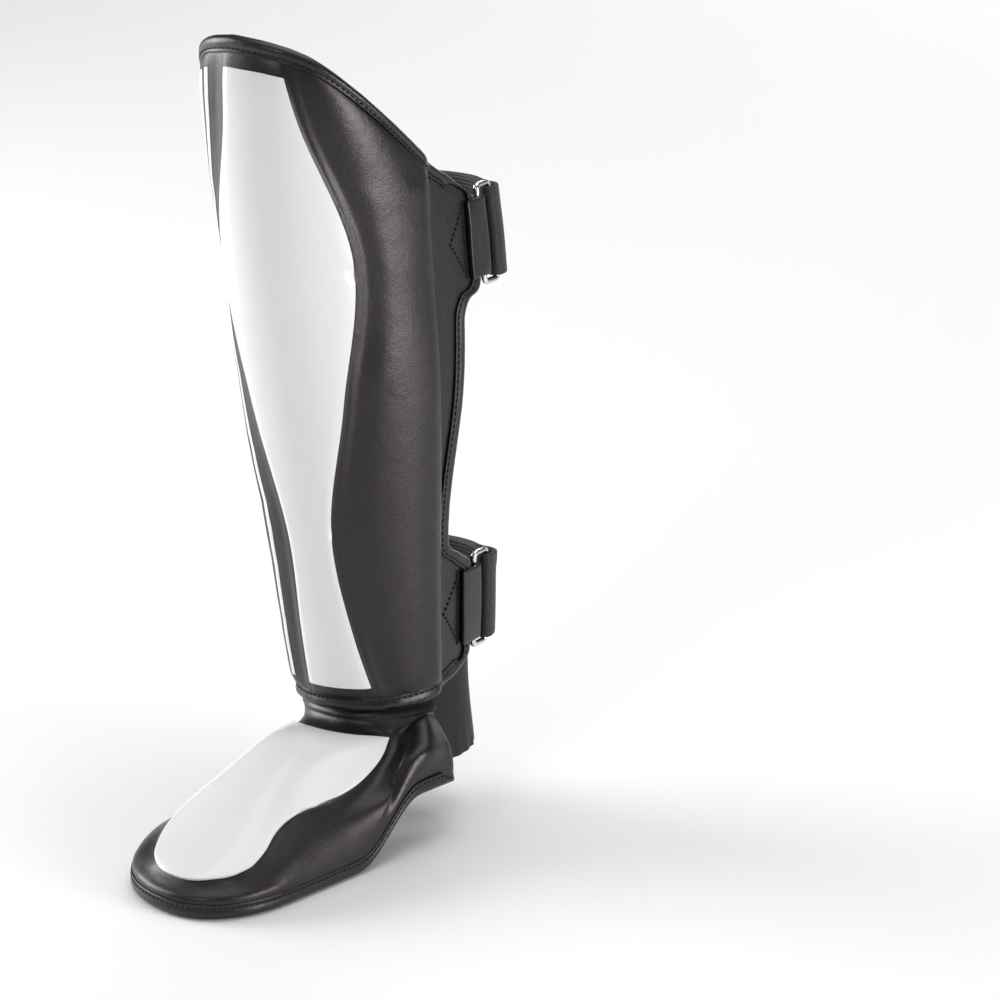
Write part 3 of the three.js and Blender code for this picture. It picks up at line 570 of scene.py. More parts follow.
def smoothstep(share: np.ndarray) -> np.ndarray:
    """Ease from 0 to 1."""
    t = np.clip(share, 0.0, 1.0)
    return t * t * (3.0 - 2.0 * t)


def rounded_step(share: np.ndarray) -> np.ndarray:
    """Rise from 0 to 1 as a quarter circle does."""
    return np.sqrt(1.0 - (1.0 - np.clip(share, 0.0, 1.0)) ** 2)


def table_curve(table: Sequence[Sequence[float]], column: int, at: np.ndarray) -> np.ndarray:
    """Smooth curve through one column of a table.

    Args:
        table: rows that start with their place.
        column: which column is read.
        at: the places asked for.

    Returns:
        The column's value at each place.
    """
    xs = np.array([row[0] for row in table])
    ys = np.array([row[column] for row in table])
    slopes = np.diff(ys) / np.diff(xs)
    before, after = np.diff(xs)[:-1], np.diff(xs)[1:]
    inner = (slopes[:-1] * after + slopes[1:] * before) / (before + after)
    tangents = np.concatenate([slopes[:1], inner, slopes[-1:]])
    x = np.clip(at, xs[0], xs[-1])
    i = np.clip(np.searchsorted(xs, x, side="right") - 1, 0, len(xs) - 2)
    span = xs[i + 1] - xs[i]
    t = (x - xs[i]) / span
    return ((1 + 2 * t) * (1 - t) ** 2 * ys[i] + t * (1 - t) ** 2 * span * tangents[i]
            + t * t * (3 - 2 * t) * ys[i + 1] + t * t * (t - 1) * span * tangents[i + 1])


@dataclass(frozen=True)
class GuardPlace:
    """Where the guard's own axes lie in the frame, and how far the shin shell leans sideways."""
    shift: tuple[float, float] = (11.5965, 59.1653)
    side_lean: float = 3.9

    def leaned(self, points: np.ndarray) -> np.ndarray:
        """Tip points outwards with the shell, in millimetres."""
        angle = math.radians(self.side_lean)
        x = points[..., 0] * math.cos(angle) - points[..., 2] * math.sin(angle)
        z = points[..., 0] * math.sin(angle) + points[..., 2] * math.cos(angle)
        return np.stack([x, points[..., 1], z], axis=-1)

    def placed(self, points: np.ndarray) -> np.ndarray:
        """Move points from the guard's own axes to the frame, in metres."""
        return (points + np.array([self.shift[0], self.shift[1], 0.0])) * MM


PLACE = GuardPlace()


class Lane(IntEnum):
    """The lines up the shell that something follows, counted from the stripe side's edge."""
    STRIPE_FOLD = 1
    WIDE_STRIPE = 3
    THIN_STRIPE = 5
    PANEL = 8
    PANEL_END = 9
    BUCKLE_FOLD = 12
    LAST = 13


@dataclass(frozen=True)
class ShellForm:
    """The shin shell's form: sections from the hem up, its edges and the lanes along it."""
    length: float = 383.0
    hem: float = 76.0
    width: float = 124.0
    depth: float = 100.0
    forward_lean: float = 39.0
    power: float = 2.2
    ridge_at_hem: float = -53.0
    flange: float = 4.4
    pad: float = 20.0
    rear_step: float = 9.0
    rear_shoulder: float = 13.0
    top_step: float = 3.5
    top_shoulder: float = 26.0
    hem_step: float = 3.0
    hem_shoulder: float = 13.0
    fold: float = 2.0
    rear_reach: float = 24.0
    top_drop: float = 105.0
    top_girth: float = 165.0
    hem_rise: float = 14.0
    side_curl: float = 5.0
    curl_length: float = 45.0
    strap_width: float = 50.0
    upper_strap: float = 256.0
    lower_strap: float = 45.0
    upper_tab: float = 17.0
    lower_tab: float = 22.0
    tab_flank: float = 15.0
    panel_width: float = 86.0
    groove: float = 2.5
    groove_width: float = 9.0
    seam_depth: float = 1.8
    seam_width: float = 3.0
    stripe_inset: float = 17.0
    thin_stripe: float = 3.6
    stripe_spacing: float = 3.2
    wide_stripe: float = 8.0
    edge_band: float = 5.5
    sections: tuple = (
        (0.00, 0.78, 0.525, 0.00, 0.25, -0.065, 0.425),
        (0.12, 0.84, 0.630, 0.21, 0.28, -0.025, 0.355),
        (0.265, 0.90, 0.746, 0.42, 0.30, 0.016, 0.322),
        (0.47, 1.00, 0.967, 0.66, 0.80, -0.150, 0.528),
        (0.68, 0.99, 1.000, 0.88, 1.00, -0.286, 0.717),
        (0.89, 0.99, 0.849, 0.99, 0.92, -0.063, 0.456),
        (1.00, 1.07, 0.790, 0.98, 0.90, -0.040, 0.348),
    )
    top_edge: tuple = (
        (0.00, 0.00, 0.00), (0.15, 0.03, 0.03), (0.30, 0.13, 0.11), (0.45, 0.25, 0.29),
        (0.60, 0.44, 0.51), (0.75, 0.74, 0.74), (0.90, 0.92, 0.90), (1.00, 1.00, 1.00),
    )

    def share(self, z: np.ndarray) -> np.ndarray:
        """Share of the way up from the hem."""
        return (z - self.hem) / self.length

    def section(self, z: np.ndarray) -> tuple[np.ndarray, np.ndarray, np.ndarray]:
        """Half a section in plan at each height.

        Args:
            z: heights, in millimetres.

        Returns:
            Its points across and back, and the length round it up to each, one row a height.
        """
        at = self.share(z)
        half = (self.width / 2 * table_curve(self.sections, 1, at))[:, None]
        depth = (self.depth * table_curve(self.sections, 2, at))[:, None]
        ridge = (self.ridge_at_hem - self.forward_lean * table_curve(self.sections, 3, at))[:, None]
        turn = np.linspace(0.0, math.pi / 2, 41)[None, :]
        behind = np.linspace(0.0, 2 * self.curl_length, 13)[None, 1:]
        x = np.concatenate([half * np.sin(turn) ** (2 / self.power),
                            half - self.side_curl * (behind / self.curl_length) ** 2], axis=1)
        y = np.concatenate([ridge + depth - depth * np.abs(np.cos(turn)) ** (2 / self.power),
                            ridge + depth + behind + 0 * half], axis=1)
        steps = np.hypot(np.diff(x, axis=1), np.diff(y, axis=1))
        lengths = np.concatenate([np.zeros((len(z), 1)), np.cumsum(steps, axis=1)], axis=1)
        return x, y, lengths

    def distance_at(self, z: np.ndarray, back: np.ndarray) -> np.ndarray:
        """Distance round the section at which it reaches a place front to back."""
        x, y, lengths = self.section(z)
        i = np.clip(np.argmax(y > back[:, None], axis=1) - 1, 0, None)
        row = np.arange(len(z))
        share = (back - y[row, i]) / (y[row, i + 1] - y[row, i])
        return lengths[row, i] + (lengths[row, i + 1] - lengths[row, i]) * share

    def raw(self, distance: np.ndarray, z: np.ndarray, offset: np.ndarray) -> np.ndarray:
        """Points of the shell in its own axes, in millimetres, before it leans sideways.

        Args:
            distance: distance round the shell from the ridge, plus on the buckle side.
            z: height.
            offset: distance outwards from the form.

        Returns:
            The points, with the arguments' shape and a last axis of 3.
        """
        shape = np.broadcast(distance, z, offset).shape
        d, h, o = (np.broadcast_to(a, shape).ravel().astype(float) for a in (distance, z, offset))
        side = np.where(d < 0, -1.0, 1.0)
        x, y, lengths = self.section(h)
        slope_x = np.gradient(x, axis=1)
        slope_y = np.gradient(y, axis=1)
        slope_x[:, 0], slope_y[:, 0] = 1.0, 0.0
        size = np.hypot(slope_x, slope_y)
        slope_x, slope_y = slope_x / size, slope_y / size
        row = np.arange(len(h))
        i = np.clip(np.argmax(lengths > np.abs(d)[:, None], axis=1) - 1, 0, None)
        share = (np.abs(d) - lengths[row, i]) / (lengths[row, i + 1] - lengths[row, i])

        def mixed(values: np.ndarray) -> np.ndarray:
            """Value between two of a section's points."""
            return values[row, i] * (1 - share) + values[row, i + 1] * share

        along_x, along_y = mixed(slope_x), mixed(slope_y)
        size = np.hypot(along_x, along_y)
        across = side * (mixed(x) + along_y / size * o)
        back = mixed(y) - along_x / size * o
        return np.stack([across, back, h], axis=-1).reshape(*shape, 3)

    def point(self, distance: np.ndarray, z: np.ndarray, offset: np.ndarray) -> np.ndarray:
        """Points of the shell in the frame, in metres, from the same arguments as raw."""
        return PLACE.placed(PLACE.leaned(self.raw(distance, z, offset)))

    def rear_edge(self, z: np.ndarray) -> np.ndarray:
        """The flange's rear edge, front to back, with its two tabs."""
        height = z - self.hem
        half = self.strap_width / 2
        upper = 1 - smoothstep((np.abs(height - self.upper_strap) - half) / self.tab_flank)
        lower = 1 - smoothstep((height - self.lower_strap - half) / self.tab_flank)
        flange = self.rear_reach * table_curve(self.sections, 4, self.share(z))
        return self.fold + flange + self.upper_tab * upper + self.lower_tab * lower

    def top_height(self, distance: np.ndarray) -> np.ndarray:
        """Height of the top edge at a distance round the shell."""
        at = np.abs(distance) / self.top_girth
        drop = np.where(distance < 0, table_curve(self.top_edge, 1, at), table_curve(self.top_edge, 2, at))
        return self.hem + self.length - self.top_drop * drop

    def hem_height(self, distance: np.ndarray) -> np.ndarray:
        """Height of the hem at a distance round the shell."""
        rear = self.rear_edge(np.array([self.hem + self.hem_rise]))
        corner = self.distance_at(np.array([self.hem]), rear)[0]
        return self.hem + self.hem_rise * np.clip(np.abs(distance) / corner, 0, 1.2) ** 5

    def lanes(self, z: np.ndarray) -> np.ndarray:
        """The lines up the shell, one row to a height, from the stripe side's edge to the other."""
        fold = self.distance_at(z, np.full(len(z), self.fold))
        edge = self.distance_at(z, self.rear_edge(z))
        lateral = self.panel_width * table_curve(self.sections, 5, self.share(z))
        medial = self.panel_width * table_curve(self.sections, 6, self.share(z))
        thin = lateral - self.stripe_inset
        wide = thin - self.thin_stripe - self.stripe_spacing
        return np.stack([
            -edge, -fold, -fold + self.rear_shoulder, wide - self.wide_stripe, wide,
            thin - self.thin_stripe, thin, lateral - self.groove_width, lateral, medial,
            medial + self.groove_width, fold - self.rear_shoulder, fold, edge,
        ], axis=1)

    def spread(self, lines: np.ndarray, shares: np.ndarray) -> tuple[np.ndarray, np.ndarray]:
        """Distance round and height of a grid whose columns follow the lanes.

        Args:
            lines: the columns, as numbers of lanes with fractions between them.
            shares: the rows, as shares of the way from the hem to the top edge.

        Returns:
            Distances and heights, rows by columns.
        """
        z = np.broadcast_to(self.hem + shares[:, None] * self.length, (len(shares), len(lines))).copy()
        whole = np.clip(lines.astype(int), 0, Lane.LAST - 1)
        part = lines - whole
        distance = np.zeros_like(z)
        heights = np.arange(self.hem - 10, self.hem + self.length + 12, 1.0)
        table = self.lanes(heights)
        for _ in range(8):
            for c in range(len(lines)):
                low = np.interp(z[:, c], heights, table[:, whole[c]])
                high = np.interp(z[:, c], heights, table[:, whole[c] + 1])
                distance[:, c] = low * (1 - part[c]) + high * part[c]
            bottom = self.hem_height(distance)
            z = bottom + (self.top_height(distance) - bottom) * shares[:, None]
        return distance, z

    def relief(self, distance: np.ndarray, z: np.ndarray) -> tuple[np.ndarray, np.ndarray, np.ndarray]:
        """Offsets of the leather's face and of the lining, with the share of foam between them."""
        heights = np.arange(self.hem - 10, self.hem + self.length + 12, 1.0)
        table = self.lanes(heights)
        line = [np.interp(z, heights, column) for column in table.T]
        fold = np.where(distance < 0, -line[Lane.STRIPE_FOLD], line[Lane.BUCKLE_FOLD])
        band = self.edge_band
        rear = rounded_step((fold - np.abs(distance)) / self.rear_shoulder)
        top = rounded_step((self.top_height(distance) - z - band) / self.top_shoulder)
        hem = rounded_step((z - self.hem_height(distance) - band) / self.hem_shoulder)
        falls = (1 - rear) ** 3 + (1 - top) ** 3 + (1 - hem) ** 3
        foam = 1 - np.minimum(falls, 1) ** (1 / 3)
        steps = (self.rear_step * (1 - rear)) ** 3 + (self.top_step * (1 - top)) ** 3
        face = -(steps + (self.hem_step * (1 - hem)) ** 3) ** (1 / 3)
        start, stop = line[Lane.PANEL], line[Lane.PANEL_END]
        side = np.where(distance < start, start - distance, distance - stop)
        dip = self.groove * smoothstep(side / self.groove_width)
        dip *= 1 - smoothstep((side - self.groove_width) / self.rear_shoulder)
        dip += self.seam_depth * np.exp(-(side / self.seam_width) ** 2)
        face = face - np.where(side > 0, dip * foam, 0.0)
        return face, face - (self.flange + (self.pad - self.flange) * foam), foam


def catmull_rom(knots: np.ndarray, at: np.ndarray) -> np.ndarray:
    """Points on open centripetal curves, one curve to a point.

    Args:
        knots: the curves' knots, curves by knots by 3.
        at: the share of the way along each curve.

    Returns:
        One point for each curve.
    """
    count = knots.shape[1]
    place = at * (count - 1)
    whole = np.clip(np.floor(place).astype(int), 0, count - 2)
    t = (place - whole)[:, None]
    first, last = 2 * knots[:, :1] - knots[:, 1:2], 2 * knots[:, -1:] - knots[:, -2:-1]
    ends = np.concatenate([first, knots, last], axis=1)
    row = np.arange(len(knots))
    a, b, c, d = (ends[row, whole + k] for k in range(4))

    def apart(p: np.ndarray, q: np.ndarray) -> np.ndarray:
        """Square root of the distance between knots."""
        return np.maximum(np.linalg.norm(q - p, axis=1), 1e-8)[:, None] ** 0.5

    before, here, after = apart(a, b), apart(b, c), apart(c, d)
    start = ((b - a) / before - (c - a) / (before + here) + (c - b) / here) * here
    stop = ((c - b) / here - (d - b) / (here + after) + (d - c) / after) * here
    return (b + start * t + (3 * (c - b) - 2 * start - stop) * t ** 2
            + (2 * (b - c) + start + stop) * t ** 3)


def curve(knots: np.ndarray, count: int) -> np.ndarray:
    """Points on one smooth curve through a few knots."""
    return catmull_rom(np.repeat(knots[None], count, axis=0), np.linspace(0, 1, count))


def lengths_of(path: np.ndarray) -> np.ndarray:
    """How far along each point of a path lies, or of each of several paths."""
    steps = np.linalg.norm(np.diff(path, axis=-2), axis=-1)
    return np.concatenate([np.zeros((*steps.shape[:-1], 1)), np.cumsum(steps, axis=-1)], axis=-1)


def sampled(at: np.ndarray, length: np.ndarray, values: np.ndarray) -> np.ndarray:
    """Values along a path, read at other lengths."""
    if values.ndim == 1:
        return np.interp(at, length, values)
    return np.stack([np.interp(at, length, values[:, k]) for k in range(values.shape[1])], axis=-1)


def spaced(path: np.ndarray, count: int) -> np.ndarray:
    """Even places along a path of points, its ends included."""
    length = lengths_of(path)
    return sampled(np.linspace(0, length[-1], count), length, path)


def unit(vectors: np.ndarray) -> np.ndarray:
    """Vectors cut to a length of 1."""
    return vectors / np.maximum(np.linalg.norm(vectors, axis=-1, keepdims=True), 1e-12)


def right_of(paths: np.ndarray) -> np.ndarray:
    """Level directions to the right of paths."""
    along = np.gradient(paths, axis=-2)
    return unit(np.stack([along[..., 1], -along[..., 0], 0 * along[..., 0]], axis=-1))


def grid_normals(points: np.ndarray) -> np.ndarray:
    """Outward directions of a grid whose columns run from left to right and rows go up."""
    return unit(np.cross(np.gradient(points, axis=1), np.gradient(points, axis=0)))


def blurred(values: np.ndarray, reach: int, is_loop: bool) -> np.ndarray:
    """Values along a path, softened over a number of points on either side."""
    weights = np.hanning(2 * reach + 3)[1:-1]
    weights /= weights.sum()
    widths = [(reach, reach)] + [(0, 0)] * (values.ndim - 1)
    padded = np.pad(values, widths, mode="wrap" if is_loop else "edge")
    return sum(w * padded[k:k + len(values)] for k, w in enumerate(weights))


def unevenness(points: np.ndarray, wave: float, seed: float) -> np.ndarray:
    """Smooth uneven values from -1 to 1 over points.

    Args:
        points: places in metres, with a last axis of 3.
        wave: how far apart its humps are, in metres.
        seed: keeps one piece's humps apart from another's.

    Returns:
        One value for each point.
    """
    flat = (points / wave).reshape(-1, 3)
    values = [noise.noise(Vector((p[0] + seed, p[1] - seed, p[2]))) for p in flat]
    return np.array(values).reshape(points.shape[:-1])


@dataclass(frozen=True)
class InstepForm:
    """The instep pad's form: its rim in plan and the profiles from the rim up to the hem."""
    shell: ShellForm
    width: float = 114.0
    toe_reach: float = 196.0
    rim_end: float = 6.0
    medial_round: float = 55.0
    lateral_round: float = 95.0
    toe_skew: float = 14.0
    thickness: float = 12.0
    rim_thickness: float = 6.0
    edge_height: float = 14.0
    edge_inset: float = 3.0
    crown: float = 71.0
    arch: float = 32.0
    arch_start: float = 86.0
    arch_end: float = 36.0
    neck: float = 10.0
    neck_in: float = -9.1
    power: float = 2.5
    rim_power: float = 2.2
    upright_reach: float = 25.0
    domed_reach: float = 85.0
    seam: float = 0.3
    crown_line: tuple = (
        (0.27, 1.00), (0.40, 0.92), (0.55, 0.77), (0.65, 0.66), (0.75, 0.52), (0.85, 0.38),
        (0.93, 0.29), (1.00, 0.22),
    )
    toe_edge: tuple = (
        (-0.125, 0.235), (-0.06, 0.215), (0.03, 0.212), (0.12, 0.222), (0.19, 0.235), (0.23, 0.255),
    )
    medial_edge: tuple = (
        (0.23, 0.255), (0.246, 0.30), (0.244, 0.345), (0.255, 0.385), (0.29, 0.42), (0.34, 0.438),
        (0.40, 0.445), (0.46, 0.455), (0.525, 0.495), (0.575, 0.575), (0.60, 0.66), (0.60, 0.74),
    )
    top_edge: tuple = ((-0.445, 0.75), (0.05, 0.748), (0.30, 0.744), (0.60, 0.74))
    lateral_edge: tuple = (
        (-0.125, 0.235), (-0.22, 0.30), (-0.285, 0.36), (-0.312, 0.42), (-0.315, 0.50), (-0.34, 0.60),
        (-0.387, 0.66), (-0.445, 0.75),
    )

    def rim(self, turn: np.ndarray) -> np.ndarray:
        """The rim in plan: turn is -1 at the stripe side's rear, 0 at the toe and 1 at the other rear."""
        toe_round = np.where(turn < 0, self.lateral_round, self.medial_round)
        straight = self.toe_reach - self.rim_end - toe_round
        arc = toe_round + self.width / 4
        distance = (1 - np.abs(turn)) * (straight + arc)
        half = np.where(turn < 0, -1, 1) * self.width / 2
        angle = np.clip((distance - straight) / arc, 0, 1) * math.pi / 2
        across = np.cos(angle) ** (2 / self.rim_power)
        forward = np.sin(angle) ** (2 / self.rim_power)
        x = np.where(distance < straight, half, self.toe_skew + (half - self.toe_skew) * across)
        y = np.where(distance < straight, -self.rim_end - distance,
                     -self.rim_end - straight - toe_round * forward)
        return np.stack([x, y], axis=-1)

    def knots(self, turn: np.ndarray) -> np.ndarray:
        """The profile's knots for each turn round the pad, in the guard's own axes."""
        rim = self.rim(turn)
        rise = smoothstep((rim[:, 1] + self.arch_start) / (self.arch_start - self.arch_end))
        lift = np.where(turn > 0, self.arch * rise, 0.0)
        shell = self.shell
        hem = np.array([shell.hem])
        neck_distance = shell.distance_at(hem, np.array([-self.rim_end / 2]))[0]
        distance = neck_distance * turn
        full = np.full_like(turn, self.neck_in)
        top = PLACE.leaned(shell.raw(distance, np.full_like(turn, shell.hem - self.seam), full))
        under = PLACE.leaned(shell.raw(distance, np.full_like(turn, shell.hem - self.neck), full))
        inward = under[:, :2] - rim
        reach = np.linalg.norm(inward, axis=1)
        inward = inward / reach[:, None]
        edge = lift + self.edge_height
        points = [np.column_stack([rim, lift + self.seam]),
                  np.column_stack([rim + self.edge_inset * inward, edge])]
        steep = 1 - smoothstep((reach - self.upright_reach) / (self.domed_reach - self.upright_reach))
        for share in (0.25, 0.5, 0.75):
            place = rim + (under[:, :2] - rim) * share
            dome = np.maximum(self.height(place), edge)
            side = edge + (under[:, 2] - edge) * share ** 0.8
            points.append(np.column_stack([place, dome + (side - dome) * steep]))
        return np.stack([*points, under, top], axis=1)

    def height(self, place: np.ndarray) -> np.ndarray:
        """Height of the pad's face over places in plan."""
        forward = np.clip(-place[:, 1] / self.toe_reach, 0, 1)
        crown = self.crown * table_curve(self.crown_line, 1, forward)
        across = np.abs(place[:, 0] - self.toe_skew * forward ** 2) / (self.width / 2)
        return self.edge_height + (crown - self.edge_height) * (1 - np.minimum(across, 1) ** self.power)

    def face(self, turn: np.ndarray, share: np.ndarray) -> np.ndarray:
        """Points of the pad's face in the guard's own axes, for turns and shares of the way up."""
        shape = np.broadcast(turn, share).shape
        turns = np.broadcast_to(turn, shape).ravel().astype(float)
        shares = np.broadcast_to(share, shape).ravel().astype(float)
        return catmull_rom(self.knots(turns), shares).reshape(*shape, 3)

    def normal(self, turn: np.ndarray, share: np.ndarray) -> np.ndarray:
        """Outward directions of the pad's face."""
        step = 0.004
        a = np.clip(turn, -1 + step, 1 - step)
        b = np.clip(share, step, 1 - step)
        across = self.face(a + step, b) - self.face(a - step, b)
        up = self.face(a, b + step) - self.face(a, b - step)
        found = np.cross(across, up)
        found[..., 2] = np.where(np.broadcast_to(share, found.shape[:-1]) <= 0, 0.0, found[..., 2])
        return unit(found)

    def wall(self, share: np.ndarray) -> np.ndarray:
        """Thickness of the pad at a share of the way up."""
        body = self.rim_thickness + (self.thickness - self.rim_thickness) * smoothstep(share / 0.3)
        end = self.shell.flange / 2
        return end + (body - end) * smoothstep((1 - share) / 0.25)

    def panel_patch(self, rows: int, columns: int) -> np.ndarray:
        """Turns and shares of an even grid that fills the white panel's outline.

        Args:
            rows: its rows, from the toe up.
            columns: its columns, from the stripe side.

        Returns:
            Rows by columns by 2.
        """
        toe, top = self.edge_run(self.toe_edge, columns), self.edge_run(self.top_edge, columns)
        left, right = self.edge_run(self.lateral_edge, rows), self.edge_run(self.medial_edge, rows)
        v = np.linspace(0, 1, rows)[:, None, None]
        u = np.linspace(0, 1, columns)[None, :, None]
        ruled = (1 - v) * toe[None] + v * top[None] + (1 - u) * left[:, None] + u * right[:, None]
        low = (1 - u) * toe[0] + u * toe[-1]
        high = (1 - u) * top[0] + u * top[-1]
        return ruled - (1 - v) * low - v * high

    def edge_run(self, knots: Sequence[Sequence[float]], count: int) -> np.ndarray:
        """Even places along a smooth curve through an edge's knots."""
        flat = np.array([(turn, share, 0.0) for turn, share in knots])
        return spaced(curve(flat, 300), count)[:, :2]

    def panel_distance(self, turns: np.ndarray, shares: np.ndarray) -> np.ndarray:
        """How far points of the pad lie outside the panel, in millimetres, and 0 on it."""
        toe, top = self.edge_run(self.toe_edge, 60), self.edge_run(self.top_edge, 60)
        medial, lateral = self.edge_run(self.medial_edge, 120), self.edge_run(self.lateral_edge, 120)
        loop = np.concatenate([toe, medial[1:], top[::-1][1:], lateral[::-1][1:]])
        t, h = turns.ravel()[:, None], shares.ravel()[:, None]
        t0, h0 = loop[None, :-1, 0], loop[None, :-1, 1]
        t1, h1 = loop[None, 1:, 0], loop[None, 1:, 1]
        rises = (h0 > h) != (h1 > h)
        cross = t0 + (h - h0) / np.where(rises, h1 - h0, 1.0) * (t1 - t0)
        inside = (rises & (t < cross)).sum(axis=1) % 2 == 1
        edge = self.face(loop[:, 0], loop[:, 1])
        points = self.face(turns, shares).reshape(-1, 3)
        apart = np.sqrt(((points[:, None] - edge[None]) ** 2).sum(axis=2)).min(axis=1)
        return np.where(inside, 0.0, apart).reshape(turns.shape)


SHELL = ShellForm()
INSTEP = InstepForm(SHELL)


# Work on the pieces

@dataclass(frozen=True)
class Foam:
    """How firmly the foam pushes a pad's leather out, and how far at most."""
    pressure: float = 4.0
    most: float = 3.0
    frames: int = 20


def swell(piece: bpy.types.Object, held: np.ndarray, foam: Foam) -> None:
    """Let the foam push a pad's leather out where no seam holds it down.

    Args:
        piece: the pad, which keeps the number and order of its points.
        held: how firmly each point is held, 0 to 1.
        foam: the foam's push.
    """
    start = points_of(piece)
    group = piece.vertex_groups.new(name="held")
    for index, weight in enumerate(held):
        group.add([index], float(weight), "REPLACE")
    take(piece)
    cloth = piece.modifiers.new("Leather", "CLOTH")
    settings = cloth.settings
    settings.mass = 0.5
    settings.tension_stiffness = 25
    settings.compression_stiffness = 8
    settings.shear_stiffness = 8
    settings.bending_stiffness = 1.5
    settings.use_pressure = True
    settings.uniform_pressure_force = foam.pressure
    settings.vertex_group_mass = group.name
    settings.effector_weights.gravity = 0
    cloth.collision_settings.use_collision = False
    cloth.point_cache.frame_end = foam.frames
    for number in range(1, foam.frames + 1):
        bpy.context.scene.frame_set(number)
    bpy.ops.object.modifier_apply(modifier=cloth.name)
    bpy.context.scene.frame_set(1)
    move = points_of(piece) - start
    length = np.maximum(np.linalg.norm(move, axis=1, keepdims=True), 1e-9)
    move *= np.minimum(1.0, foam.most * MM / length)
    put_points(piece, start + move)
    piece.vertex_groups.clear()
    most = np.linalg.norm(move, axis=1).max() / MM
    log.info("%s: leather moved up to %.1f mm", piece.name, most)


def lay_strip(piece: bpy.types.Object, along: np.ndarray, across: np.ndarray) -> None:
    """Give a woven piece its own map, in metres along and across the webbing.

    Args:
        piece: a piece whose face and back have the same cut.
        along: place along the webbing of each point of the face.
        across: place across it.
    """
    both = np.stack([np.tile(along.ravel(), 2), np.tile(across.ravel(), 2)], axis=1)
    layer = piece.data.uv_layers.new(name="Strip")
    corners = np.empty(len(piece.data.loops), dtype=np.int32)
    piece.data.loops.foreach_get("vertex_index", corners)
    layer.data.foreach_set("uv", both[corners].astype(np.float32).ravel())


@dataclass(frozen=True)
class StitchRow:
    """A row of stitches: pitch, length and thickness of a stitch, in millimetres."""
    pitch: float = 3.6
    length: float = 2.7
    thick: float = 1.0

    def pattern(self) -> bpy.types.Object:
        """One stitch along X: a short thread that dives into the leather at both ends."""
        deselect_all()
        bpy.ops.mesh.primitive_uv_sphere_add(segments=6, ring_count=5, radius=0.5)
        stitch = bpy.context.object
        bpy.ops.transform.rotate(value=math.pi / 2, orient_axis="Y", center_override=(0, 0, 0))
        bpy.ops.transform.resize(value=(self.length * MM, self.thick * MM, self.thick * MM))
        bpy.ops.object.transform_apply(location=True, rotation=True, scale=True)
        return stitch

    def sew(self, name: str, paths: Sequence[tuple[np.ndarray, np.ndarray]]) -> bpy.types.Object:
        """Sew rows of stitches.

        Args:
            name: the piece's name.
            paths: for each row its points and its outward directions.

        Returns:
            All the rows' stitches as one piece.
        """
        pattern = self.pattern()
        stitches = []
        for points, normals in paths:
            length = lengths_of(points)
            count = max(2, int(length[-1] / (self.pitch * MM)))
            at = (np.arange(count) + 0.5) * length[-1] / count
            place = sampled(at, length, points)
            step = 0.4 * MM
            x = unit(sampled(at + step, length, points) - sampled(at - step, length, points))
            y = unit(np.cross(unit(sampled(at, length, normals)), x))
            z = np.cross(x, y)
            for k in range(count):
                stitch = pattern.copy()
                stitch.data = pattern.data.copy()
                turn = Matrix((x[k], y[k], z[k])).transposed().to_4x4()
                stitch.data.transform(Matrix.Translation(place[k]) @ turn)
                bpy.context.scene.collection.objects.link(stitch)
                stitches.append(stitch)
        bpy.data.objects.remove(pattern)
        row = join(stitches)
        row.name = row.data.name = name
        smooth(row)
        return row


@dataclass(frozen=True)
class EdgeBand:
    """Leather folded over an edge: its reach over the face and back, and its thickness."""
    face_reach: float = 6.8
    back_reach: float = 6.0
    leather: float = 1.5
    roll: float = 2.7
    stitch_inset: float = 2.6
    spacing: float = 2.4

    def section(self, half: float) -> np.ndarray:
        """The folded leather's outline, as places outward and across, for half an edge's thickness."""
        over, gap, roll = self.leather, 0.15, self.roll
        front, rear = -self.face_reach, -self.back_reach
        return np.array([
            (front, half + gap), (front + 0.1, half + 0.8 * over), (front + 1.1, half + 1.1 * over),
            (front + self.stitch_inset, half + 0.5 * over), (0.28 * front, half + 1.3 * over),
            (0.15 * roll, half + 1.1 * over), (0.72 * roll, 0.72 * (half + over)), (roll, 0.25 * half),
            (roll, -0.25 * half), (0.72 * roll, -0.72 * (half + over)), (0.1 * roll, -half - 0.95 * over),
            (0.5 * rear, -half - over), (rear, -half - 0.8 * over), (rear, -half - gap),
            (0.4, -half - gap), (0.4, half + gap),
        ])


